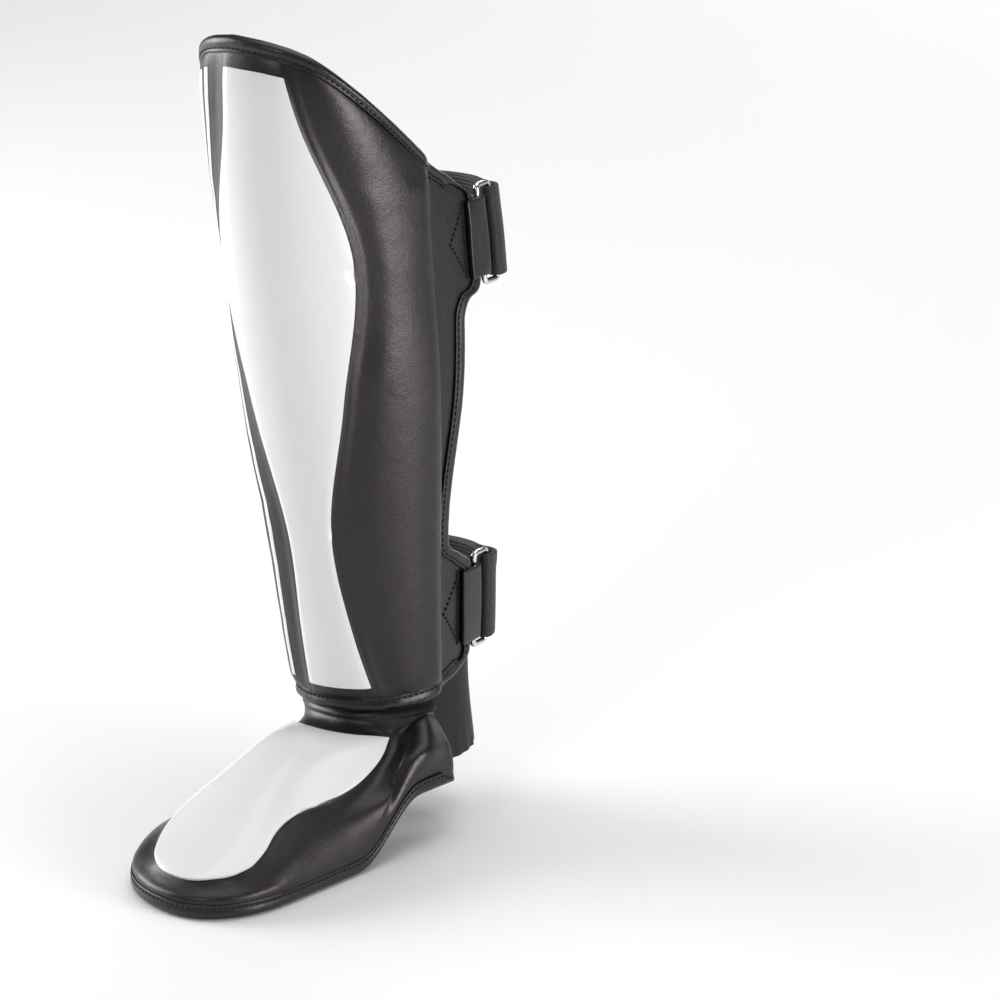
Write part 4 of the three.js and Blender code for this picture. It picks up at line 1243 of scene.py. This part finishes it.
class EdgeLine:
    """The line round a wall's edge, with its directions outward and across the wall."""

    def __init__(self, face: np.ndarray, back: np.ndarray, is_loop: bool, band: EdgeBand,
                 corner: float) -> None:
        """Follow the edge of a wall's grid.

        Args:
            face: the wall's face, rows by columns by 3, in metres.
            back: its back.
            is_loop: whether the line goes all the way round, or only along the first row.
            band: the band that will be folded over it.
            corner: how far its corners are rounded, in millimetres.
        """
        rows, columns = face.shape[:2]
        cells = [(0, c) for c in range(columns)]
        if is_loop:
            cells += [(r, columns - 1) for r in range(1, rows)]
            cells += [(rows - 1, c) for c in range(columns - 2, -1, -1)]
            cells += [(r, 0) for r in range(rows - 1, -1, -1)][1:]
        r, c = np.array(cells).T
        inner_r, inner_c = np.clip(r, 2, rows - 3), np.clip(c, 2, columns - 3)
        middle = (face[r, c] + back[r, c]) / 2
        outward = middle - (face[inner_r, inner_c] + back[inner_r, inner_c]) / 2
        length = lengths_of(middle)
        count = int(length[-1] / (band.spacing * MM))
        at = np.linspace(0, length[-1], count, endpoint=not is_loop)
        reach = max(1, round(corner / band.spacing))
        across, out = (unit(blurred(unit(sampled(at, length, way)), 2 * reach, is_loop))
                       for way in (unit(face[r, c] - back[r, c]), outward))
        half = np.linalg.norm(face[r, c] - back[r, c], axis=1) / 2
        self.is_loop = is_loop
        self.band = band
        self.middle = blurred(sampled(at, length, middle), reach, is_loop)
        self.across = across
        self.out = unit(out - across * np.sum(out * across, axis=1, keepdims=True))
        self.half = sampled(at, length, half) / MM

    def at(self, outward: np.ndarray, across: np.ndarray) -> np.ndarray:
        """Points beside the line, from lengths in millimetres outward and across the wall."""
        return self.middle + MM * (self.out * outward[:, None] + self.across * across[:, None])

    def wrap(self, name: str, crumple: np.ndarray) -> bpy.types.Object:
        """Fold the band's leather over the edge.

        Args:
            name: the piece's name.
            crumple: how far the leather is out of line at each place, in millimetres.

        Returns:
            The band.
        """
        ones = np.ones(len(self.half))
        section = self.band.section(float(self.half.mean()))
        rings = np.stack([self.at(outward * ones, across * ones) for outward, across in section], axis=1)
        centre = rings.mean(axis=1, keepdims=True)
        away = unit(rings - centre)
        rough = unevenness(rings, 0.006, 3.0) * crumple[:, None] * MM
        rough[:, [0, 13, 14, 15]] = 0
        rings = rings + away * rough[..., None]
        if not self.is_loop:
            end = np.minimum(np.arange(len(rings)), np.arange(len(rings))[::-1]) / 3
            rings = centre + (rings - centre) * (0.55 + 0.45 * smoothstep(end))[:, None, None]
        band = tube(name, rings, self.is_loop)
        refine(band, 1)
        return band

    def stitch_line(self) -> tuple[np.ndarray, np.ndarray]:
        """Where the band is sewn down, and its outward directions."""
        ones = np.ones(len(self.half))
        inward = self.band.stitch_inset - self.band.face_reach
        points = self.at(inward * ones, (self.half.mean() + 0.85 * self.band.leather) * ones)
        normals = self.across
        if self.is_loop:
            points = np.concatenate([points, points[:1]])
            normals = np.concatenate([normals, normals[:1]])
        return points, normals


@dataclass
class ShinShell:
    """The shin's pad with its panel, stripes and edge band."""
    form: ShellForm = SHELL
    lane_steps: tuple[int, ...] = (5, 4, 5, 3, 2, 2, 3, 5, 16, 5, 8, 5, 5)
    rows: int = 84
    end_rows: int = 7
    hem_margin: float = 13.5
    top_margin: float = 14.0
    panel_leather: float = 1.3
    print_film: float = 0.35
    foam: Foam = Foam()
    band: EdgeBand = EdgeBand()
    stitches: StitchRow = StitchRow()
    face: np.ndarray = field(default=None, repr=False)
    back: np.ndarray = field(default=None, repr=False)

    def build(self) -> None:
        """Build the pad and dress it."""
        self.build_pad()
        self.build_skin("shin_panel", Lane.PANEL, self.panel_leather, WHITE_LEATHER, "white_leather")
        for name, lane in (("stripe_thin", Lane.THIN_STRIPE), ("stripe_wide", Lane.WIDE_STRIPE)):
            self.build_skin(name, lane, self.print_film, STRIPE_PRINT, "stripe_print")
        self.build_band()

    def columns(self) -> np.ndarray:
        """The grid's columns as places among the lanes."""
        parts = [k + np.arange(steps) / steps for k, steps in enumerate(self.lane_steps)]
        return np.concatenate([*parts, [float(Lane.LAST)]])

    def shares(self) -> np.ndarray:
        """The grid's rows as shares of the way up."""
        low = self.hem_margin / self.form.length
        high = 1 - self.top_margin / self.form.length
        return np.concatenate([np.linspace(0, low, self.end_rows)[:-1], np.linspace(low, high, self.rows),
                               np.linspace(high, 1, self.end_rows)[1:]])

    def build_pad(self) -> None:
        """The padded wall: face and lining formed, then swollen by its foam."""
        lines, shares = self.columns(), self.shares()
        distance, z = self.form.spread(lines, shares)
        face_offset, back_offset, foam = self.form.relief(distance, z)
        rough = self.form.point(distance, z, face_offset)
        soft = smoothstep((foam - 0.3) / 0.5)
        side = np.minimum(np.abs(lines - Lane.PANEL), np.abs(lines - Lane.PANEL_END))
        is_panel = (lines >= Lane.PANEL) & (lines <= Lane.PANEL_END)
        clear = np.where(is_panel, 0.0, smoothstep(side / 1.2))
        uneven = 0.45 * unevenness(rough, 0.034, 1.0) + 0.25 * unevenness(rough, 0.013, 5.0)
        face_offset = face_offset + uneven * soft * clear[None, :]
        face = self.form.point(distance, z, face_offset)
        back = self.form.point(distance, z, back_offset)
        pad = wall("shin_padding", face, back)
        held = np.ones((2, *face.shape[:2]))
        held[0] = 1 - soft * clear[None, :]
        swell(pad, held.ravel(), self.foam)
        self.face = face_of(pad, face.shape)
        self.back = back
        refine(pad, 1)
        seat(pad, "black_leather", BLACK_LEATHER, "shin_pad")

    def build_skin(self, name: str, lane: Lane, thickness: float, finish: Finish, slot: str) -> None:
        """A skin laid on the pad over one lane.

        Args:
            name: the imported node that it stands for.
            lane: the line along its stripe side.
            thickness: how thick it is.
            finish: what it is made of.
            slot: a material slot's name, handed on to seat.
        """
        first = sum(self.lane_steps[:lane])
        columns = slice(first, first + self.lane_steps[lane] + 1)
        rows = slice(self.end_rows - 1, self.end_rows - 1 + self.rows)
        out = grid_normals(self.face)[rows, columns]
        lift = np.full(out.shape[:2], thickness * MM)
        lift[:, [0, -1]] -= 0.45 * thickness * MM
        face = self.face[rows, columns] + out * lift[..., None]
        back = self.face[rows, columns] + out * 0.02 * MM
        skin = wall(name + "_skin", face, back)
        crease_sharp(skin, 0.85)
        refine(skin, 2, Shading.BY_ANGLE)
        seat(skin, slot, finish, name)

    def build_band(self) -> None:
        """The band round the whole edge, with its row of stitches."""
        line = EdgeLine(self.face, self.back, True, self.band, 6.0)
        at_hem = np.clip(1 - (line.middle[:, 2] - (self.form.hem + 6) * MM) / (0.02), 0, 1)
        band = line.wrap("shin_edge_band", 0.12 + 0.45 * at_hem)
        seat(band, "binding_leather", EDGE_LEATHER, "shin_binding")
        stitches = self.stitches.sew("shin_edge_stitches", [line.stitch_line()])
        seat(stitches, "binding_leather", THREAD)


@dataclass(frozen=True)
class TabFrame:
    """A tab's rear end on one side at one height: its place, its way back and its way outwards."""
    origin: np.ndarray
    back: np.ndarray
    out: np.ndarray

    def at(self, along: float, outward: float) -> np.ndarray:
        """A place beside the tab's end, in the shell's own axes."""
        return self.origin + along * self.back + outward * self.out


@dataclass
class Buckle:
    """One strap with its ring, its leather loop and the sewing on its two tabs."""
    name: str
    tab: float
    calf_space: float
    form: ShellForm = SHELL
    seam: float = 0.3
    edge_width: float = 5.0
    edge_thickness: float = 5.4
    wire: float = 3.6
    slot: float = 12.0
    loop_leather: float = 1.8
    loop_width: float = 44.0
    loop_leg: float = 9.0
    strap: float = 2.2
    width: float = 50.0
    fold_back: float = 62.0
    strap_seam: float = 22.0

    def build(self) -> None:
        """Build the loop, the ring, the strap and the sewing."""
        self.build_loop()
        self.build_ring()
        self.build_strap()
        self.build_sewing()

    @property
    def middle(self) -> float:
        """Height of the strap's middle."""
        return self.form.hem + self.tab

    @property
    def ring_front(self) -> float:
        """Middle of the ring's front bar behind the tab's end."""
        return 3 * self.seam + self.edge_width + self.wire / 2

    @property
    def ring_rear(self) -> float:
        """Middle of the ring's rear bar."""
        return self.ring_front + self.slot

    def frame(self, side: float, z: float) -> TabFrame:
        """The tab's end on one side at one height."""
        edge = self.form.rear_edge(np.array([self.middle]))
        height = np.array([z])
        offset = np.array([-self.form.rear_step - self.form.flange / 2])
        end, before = (self.form.raw(side * self.form.distance_at(height, place), height, offset)[0]
                       for place in (edge, edge - 1))
        back = unit(end - before)
        return TabFrame(end, back, np.array([side * back[1], -side * back[0], 0.0]))

    def out_of_shell(self, points: np.ndarray) -> np.ndarray:
        """Points from the shell's own axes to the frame."""
        return PLACE.placed(PLACE.leaned(points))

    def strip(self, name: str, paths: np.ndarray, thickness: float, puff: float) -> bpy.types.Object:
        """A strip on edge through paths at rising heights.

        Args:
            name: the piece's name.
            paths: rows by points by 3, in the shell's own axes.
            thickness: how thick it is.
            puff: how much thicker its middle is than its edges.

        Returns:
            The strip, with its own map.
        """
        out = right_of(paths)
        share = np.linspace(-1, 1, len(paths))[:, None, None]
        half = thickness / 2 + puff * (1 - share ** 4)
        piece = wall(name, self.out_of_shell(paths + out * half), self.out_of_shell(paths - out * half))
        lay_strip(piece, lengths_of(paths) * MM, paths[..., 2] * MM)
        return piece

    def build_loop(self) -> None:
        """Leather folded round the ring's front bar, with a leg on each face of the tab."""
        inside = self.edge_thickness / 2 + 2 * self.seam
        end = self.ring_front + self.wire / 2 + self.seam - inside
        radius = inside + self.loop_leather / 2
        rows = []
        for z in np.linspace(self.middle - self.loop_width / 2, self.middle + self.loop_width / 2, 9):
            frame_here = self.frame(1, z)
            turns = np.linspace(0, math.pi, 13)
            path = [frame_here.at(-self.loop_leg, radius), frame_here.at(-self.loop_leg / 2, radius + 0.3)]
            path += [frame_here.at(end + radius * math.sin(t), radius * math.cos(t)) for t in turns]
            path += [frame_here.at(-self.loop_leg / 2, -radius), frame_here.at(-self.loop_leg, -radius)]
            rows.append(path)
        paths = np.array(rows)
        crumple = unevenness(paths / 1000, 0.014, self.tab)
        paths[..., 0] += 0.5 * crumple
        loop = self.strip(self.name + "_fold", paths, self.loop_leather, 0.25)
        crease_sharp(loop, 0.6)
        refine(loop, 2)
        seat(loop, "black_leather", EDGE_LEATHER, self.name + "_loop")

    def build_ring(self) -> None:
        """Steel wire bent to a rectangle with round corners."""
        tall = self.width / 2 + self.wire / 2 + 2 * self.seam
        corner = 0.7 * self.wire
        front, rear = self.ring_front + corner, self.ring_rear - corner
        rings = []
        for k, (centre, up) in enumerate([(front, -1), (rear, -1), (rear, 1), (front, 1)]):
            for turn in math.pi * (1 + k / 2 + np.linspace(0, 0.5, 6)):
                ring = []
                for angle in np.linspace(0, 2 * math.pi, 14, endpoint=False):
                    reach = corner + self.wire / 2 * math.cos(angle)
                    z = self.middle + up * (tall - corner) + reach * math.sin(turn)
                    place = self.frame(1, z)
                    ring.append(place.at(centre + reach * math.cos(turn), self.wire / 2 * math.sin(angle)))
                rings.append(ring)
        wire = tube(self.name + "_wire", self.out_of_shell(np.array(rings)), True)
        smooth(wire)
        seat(wire, "ring_steel", RING_STEEL, self.name + "_ring")

    def strap_path(self, z: float) -> np.ndarray:
        """The strap's middle line at one height: sewn end, round the calf, the ring, and back on itself."""
        wrap = self.wire / 2 + 2 * self.seam + self.strap / 2
        sewn_out = self.edge_thickness / 2 + 2 * self.seam + self.strap / 2
        layer = self.strap + self.seam
        buckle, sewn = self.frame(1, z), self.frame(-1, z)
        bar = buckle.at(self.ring_rear, 0)
        rear = bar[1] + self.calf_space / 2

        def behind(across: float, forward: float) -> np.ndarray:
            """A place round the calf."""
            return np.array([across * bar[0], rear - forward * self.calf_space, z])

        knots = np.array([
            sewn.at(-self.strap_seam, sewn_out), sewn.at(0, sewn_out), sewn.at(self.ring_front, sewn_out),
            behind(-0.80, 0.28), behind(-0.35, 0), behind(0.28, 0), behind(0.72, 0.26),
            buckle.at(self.ring_rear + wrap, -wrap), buckle.at(self.ring_rear, -wrap),
        ])
        fine = spaced(curve(knots, 500), 400)
        length = lengths_of(fine)[-1]
        path = list(spaced(fine, 54))
        for turn in np.linspace(0, math.pi, 11)[1:]:
            path.append(buckle.at(self.ring_rear - wrap * math.sin(turn), -wrap * math.cos(turn)))
        tangents = unit(np.gradient(fine, axis=0))
        places = np.arange(len(fine))
        for back in np.linspace(0, self.fold_back, 17)[1:]:
            k = (1 - back / length) * (len(fine) - 1)
            here, way = sampled(k, places, fine), sampled(k, places, tangents)
            apart = 2 * wrap + (layer - 2 * wrap) * float(smoothstep(np.array((back - wrap) / (4 * wrap))))
            path.append(here + np.array([-way[1], way[0], 0]) * apart)
        return np.array(path)

    def build_strap(self) -> None:
        """The elastic strap with its soft selvages."""
        heights = self.middle + self.width / 2 * np.array([-1, -0.94, -0.6, -0.2, 0.2, 0.6, 0.94, 1])
        paths = np.stack([self.strap_path(z) for z in heights])
        strap = self.strip(self.name + "_webbing", paths, self.strap - 0.3, 0.12)
        crease_sharp(strap, 0.4)
        refine(strap, 1)
        seat(strap, "strap_elastic", STRAP_ELASTIC, self.name + "_strap")

    def on_tab(self, side: float, behind: Sequence[float], heights: Sequence[float], lift: float,
               steps: int = 14) -> tuple[np.ndarray, np.ndarray]:
        """A line drawn on a tab's leather.

        Args:
            side: 1 for the buckle side, -1 for the stripe side.
            behind: places front to back, before the tab's rear end, of the line's corners.
            heights: their heights above the strap's middle.
            lift: how far the line lies off the leather.
            steps: how many points each stretch gets.

        Returns:
            The line's points and outward directions in the frame.
        """
        edge = self.form.rear_edge(np.array([self.middle]))[0]
        share = np.linspace(0, len(behind) - 1, steps * (len(behind) - 1) + 1)
        y = edge - np.interp(share, np.arange(len(behind)), behind)
        z = self.middle + np.interp(share, np.arange(len(behind)), heights)
        distance = side * self.form.distance_at(z, y)
        offset, _, _ = self.form.relief(distance, z)
        here = self.form.point(distance, z, offset + lift)
        above = self.form.point(distance, z, offset + lift + 1)
        return here, unit(above - here)

    def build_sewing(self) -> None:
        """Rows of stitches that hold the loop and the strap to their tabs."""
        row = StitchRow(pitch=3.0, length=2.2)
        tall = self.loop_width / 2 - 2
        paths = [
            self.on_tab(1, (11, 24, 11), (-tall, 0, tall), 0.35),
            self.on_tab(1, (self.loop_leg + 2.5, self.loop_leg + 2.5), (-tall - 2, tall + 2), 0.35),
        ]
        stitches = row.sew(self.name + "_stitches", paths)
        seat(stitches, "black_leather", THREAD)
        near, far, up = 4.0, self.strap_seam - 2.5, self.width / 2 - 4
        lift = self.edge_thickness / 2 + 2 * self.seam + self.strap - self.form.flange / 2 + 0.05
        box = [
            self.on_tab(-1, (near, far, far, near, near), (-up, -up, up, up, -up), lift),
            self.on_tab(-1, (near, far), (-up, up), lift),
            self.on_tab(-1, (far, near), (-up, up), lift),
        ]
        box_stitches = row.sew(self.name + "_strap_stitches", box)
        seat(box_stitches, "strap_elastic", THREAD)


@dataclass
class InstepPad:
    """The instep's pad with its panel, rim band and heel band."""
    form: InstepForm = INSTEP
    turn_steps: int = 88
    share_steps: int = 62
    panel_columns: int = 27
    panel_rows: int = 37
    panel_leather: float = 1.3
    panel_sunk: float = 0.9
    groove: float = 1.7
    groove_width: float = 6.0
    shoulder: float = 18.0
    seam_depth: float = 1.4
    seam_width: float = 3.2
    flare: float = 3.6
    fill: float = 6.5
    fill_from: float = 0.44
    foam: Foam = Foam(most=2.5)
    band: EdgeBand = EdgeBand(face_reach=6.6, back_reach=4.5, roll=2.4, leather=1.3)
    heel_width: float = 60.0
    heel_thickness: float = 2.4
    heel_drop: float = 39.0
    heel_space: float = 52.5
    heel_spread: float = 10.5
    heel_low_front: float = -5.0
    heel_high_front: float = -3.0
    face: np.ndarray = field(default=None, repr=False)
    back: np.ndarray = field(default=None, repr=False)

    def build(self) -> None:
        """Build the pad and dress it."""
        self.build_pad()
        self.build_panel()
        self.build_band()
        self.build_heel()

    def build_pad(self) -> None:
        """The padded wall from the rim up to the hem."""
        turns = np.linspace(-1, 1, self.turn_steps + 1)
        turns, rows = np.meshgrid(turns, np.linspace(0, 1, self.share_steps + 1))
        base = self.form.face(turns, rows)
        out = self.form.normal(turns, rows)
        step_in = 1.6 * (1 - rounded_step((rows - 0.075) / 0.09))
        beside = self.form.panel_distance(turns, rows)
        is_out = beside > 0
        dip = self.groove * smoothstep(beside / self.groove_width)
        dip *= 1 - smoothstep((beside - self.groove_width) / self.shoulder)
        dip += self.seam_depth * np.exp(-(beside / self.seam_width) ** 2) * is_out
        flare = self.flare * smoothstep((rows - 0.76) / 0.08) * smoothstep((0.985 - rows) / 0.09)
        flare = flare * (1 + 0.6 * smoothstep(-turns / 0.6))
        fill = smoothstep((turns - self.fill_from) / 0.3) * smoothstep((1.0 - turns) / 0.14)
        fill = self.fill * fill * smoothstep((rows - 0.1) / 0.28) * smoothstep((0.96 - rows) / 0.28)
        fill = fill * smoothstep((beside - 1) / 16)
        offset = flare + fill - step_in - dip * smoothstep((rows - 0.14) / 0.05)
        soft = smoothstep((rows - 0.1) / 0.06) * smoothstep((0.97 - rows) / 0.1)
        clear = smoothstep((beside - 3) / 9)
        place = PLACE.placed(base)
        uneven = 0.5 * unevenness(place, 0.03, 9.0) + 0.3 * unevenness(place, 0.012, 4.0)
        offset = offset + uneven * soft * clear
        face = PLACE.placed(base + out * offset[..., None])
        thickness = np.maximum(self.form.wall(rows) + offset, 2.0)
        back = PLACE.placed(base + out * (offset - thickness)[..., None])
        pad = wall("foot_padding", face, back)
        held = np.ones((2, *face.shape[:2]))
        held[0] = 1 - soft * clear
        swell(pad, held.ravel(), self.foam)
        self.face = face_of(pad, face.shape)
        self.back = back
        refine(pad, 1)
        seat(pad, "black_leather", BLACK_LEATHER, "foot_pad")

    def build_panel(self) -> None:
        """The white panel over the instep."""
        patch = self.form.panel_patch(self.panel_rows, self.panel_columns)
        base = self.form.face(patch[..., 0], patch[..., 1])
        out = self.form.normal(patch[..., 0], patch[..., 1])
        lift = np.full(patch.shape[:2], self.panel_leather)
        lift[[0, -1], :] -= 0.5
        lift[1:-1, [0, -1]] -= 0.5
        face = PLACE.placed(base + out * lift[..., None])
        back = PLACE.placed(base - out * self.panel_sunk)
        panel = wall("foot_panel_skin", face, back)
        crease_sharp(panel, 0.85)
        refine(panel, 2, Shading.BY_ANGLE)
        seat(panel, "white_leather", WHITE_LEATHER, "foot_panel")

    def build_band(self) -> None:
        """The band over the rim, with its row of stitches."""
        floor = self.face[0, :, 2].min()
        line = EdgeLine(self.face, self.back, False, self.band, 3.0)
        lift = (self.band.roll + 0.1) * MM
        line.middle[:, 2] += lift - (line.middle[:, 2].min() - floor)
        band = line.wrap("foot_edge_band", np.full(len(line.half), 0.15))
        seat(band, "binding_leather", EDGE_LEATHER, "foot_binding")
        stitches = StitchRow().sew("foot_edge_stitches", [line.stitch_line()])
        seat(stitches, "binding_leather", THREAD)

    def heel_path(self, z: float) -> np.ndarray:
        """The heel band's middle line at one height, in the guard's own axes."""
        form, shell, seam = self.form, self.form.shell, self.form.seam
        hem = np.array([shell.hem])
        inner = -shell.rear_step - shell.flange / 2 - 2.7 - self.heel_thickness / 2 - 3 * seam
        distance = shell.distance_at(hem, np.array([shell.fold]))
        near = PLACE.leaned(shell.raw(distance, hem, np.array([inner])))[0]
        far = PLACE.leaned(shell.raw(-distance, hem, np.array([inner])))[0]
        low = shell.hem - self.heel_drop
        share = min(max((z - low) / self.heel_drop, 0), 1)
        middle = (near[0] + far[0]) / 2
        half = (near[0] - far[0]) / 2 + self.heel_spread * (1 - share)
        ease = float(smoothstep(np.array(share * 1.2 - 0.2)))
        front = self.heel_low_front + (self.heel_high_front - self.heel_low_front) * ease
        round_at = self.heel_space - half
        angles = np.linspace(0, math.pi, 41)
        x, y = middle + half * np.cos(angles), round_at + half * np.sin(angles)
        arc = np.column_stack([x, y, np.full(len(angles), z)])
        start = np.linspace([middle + half, front, z], [middle + half, round_at, z], 7)[:-1]
        stop = np.linspace([middle - half, round_at, z], [middle - half, front, z], 7)[1:]
        return np.concatenate([start, arc, stop])

    def build_heel(self) -> None:
        """The wide elastic round the heel, gathered along its lower edge."""
        low = self.form.shell.hem - self.heel_drop
        shares = np.array([0, 0.03, 0.12, 0.24, 0.36, 0.5, 0.64, 0.8, 0.96, 1])
        paths = np.stack([self.heel_path(low + s * self.heel_width) for s in shares])
        out = right_of(paths)
        place = lengths_of(paths)
        gather = np.sin(place * 2 * math.pi / 9.0) * (1 - smoothstep(shares / 0.3))[:, None]
        paths = paths + out * (0.9 * gather + 0.5 * unevenness(paths / 1000, 0.03, 2.0))[..., None]
        half = self.heel_thickness / 2
        band = wall("heel_elastic_band", PLACE.placed(paths + out * half), PLACE.placed(paths - out * half))
        lay_strip(band, place * MM, paths[..., 2] * MM)
        crease_sharp(band, 0.5)
        refine(band, 1)
        seat(band, "heel_elastic", HEEL_ELASTIC, "heel_band")


@dataclass
class Studio:
    """Pale floor, soft lights and the camera."""
    place: tuple[float, float, float] = (1.5978, -1.6170, 0.9349)
    way: tuple[float, float, float] = (-0.635, 0.708, -0.309)
    lens: float = 155.2

    def build(self) -> None:
        """Set the floor, the lights and the camera."""
        self.build_floor()
        self.light("key", (-2.0, -0.8, 0.8), 1.4, 54.0)
        self.light("front", (0.6, -2.4, 1.7), 0.8, 12.0)
        self.light("strip", (2.0, 0.35, 0.50), 0.9, 26.0)
        self.light("sky", (0.0, 0.6, 3.2), 3.2, 60.0)
        self.light("backdrop", (-1.6, 3.2, 2.6), 1.6, 60.0, (-1.6, 4.2, 0.2))
        world = bpy.data.worlds.new("studio")
        world.use_nodes = True
        world.node_tree.nodes["Background"].inputs["Color"].default_value = (1, 1, 1, 1)
        world.node_tree.nodes["Background"].inputs["Strength"].default_value = 0.14
        bpy.context.scene.world = world
        bpy.context.scene.view_settings.view_transform = "Standard"
        deselect_all()
        bpy.ops.object.camera_add(location=self.place)
        camera = bpy.context.object
        camera.rotation_mode = "QUATERNION"
        camera.rotation_quaternion = Vector(self.way).to_track_quat("-Z", "Y")
        camera.data.lens = self.lens
        camera.data.sensor_width = 36.0
        bpy.context.scene.camera = camera

    def build_floor(self) -> None:
        """A pale sheet that lies flat under the guard and rises softly far behind it."""
        across = np.linspace(-4, 4, 33)
        along = np.linspace(-4, 5, 73)
        x, y = np.meshgrid(across, along)
        rise = np.clip(y - 2.2, 0, None)
        z = np.where(rise > 0, 1.6 - 1.6 * np.sqrt(np.clip(1 - (rise / 2.8) ** 2, 0, 1)), 0.0)
        floor = formed("floor", np.stack([x, y, z - 0.0002], axis=-1))
        smooth(floor)
        floor.data.materials.append(FLOOR.material())

    def light(self, name: str, place: Sequence[float], size: float, power: float,
              aim: Sequence[float] = (0.0, 0.0, 0.22)) -> None:
        """One soft light.

        Args:
            name: its name.
            place: where it hangs.
            size: its side.
            power: its power in watts.
            aim: the place that it faces.
        """
        deselect_all()
        bpy.ops.object.light_add(type="AREA", location=place)
        lamp = bpy.context.object
        lamp.name = name
        lamp.data.size = size
        lamp.data.energy = power
        lamp.rotation_mode = "QUATERNION"
        lamp.rotation_quaternion = (Vector(aim) - Vector(place)).to_track_quat("-Z", "Y")


def main() -> None:
    """Build the guard and its studio."""
    logging.basicConfig(level=logging.INFO, format="%(name)s: %(message)s")
    ShinShell().build()
    Buckle("upper", SHELL.upper_strap, 34.0).build()
    Buckle("lower", SHELL.lower_strap, 24.0).build()
    InstepPad().build()
    Studio().build()


if __name__ == "__main__":
    main()
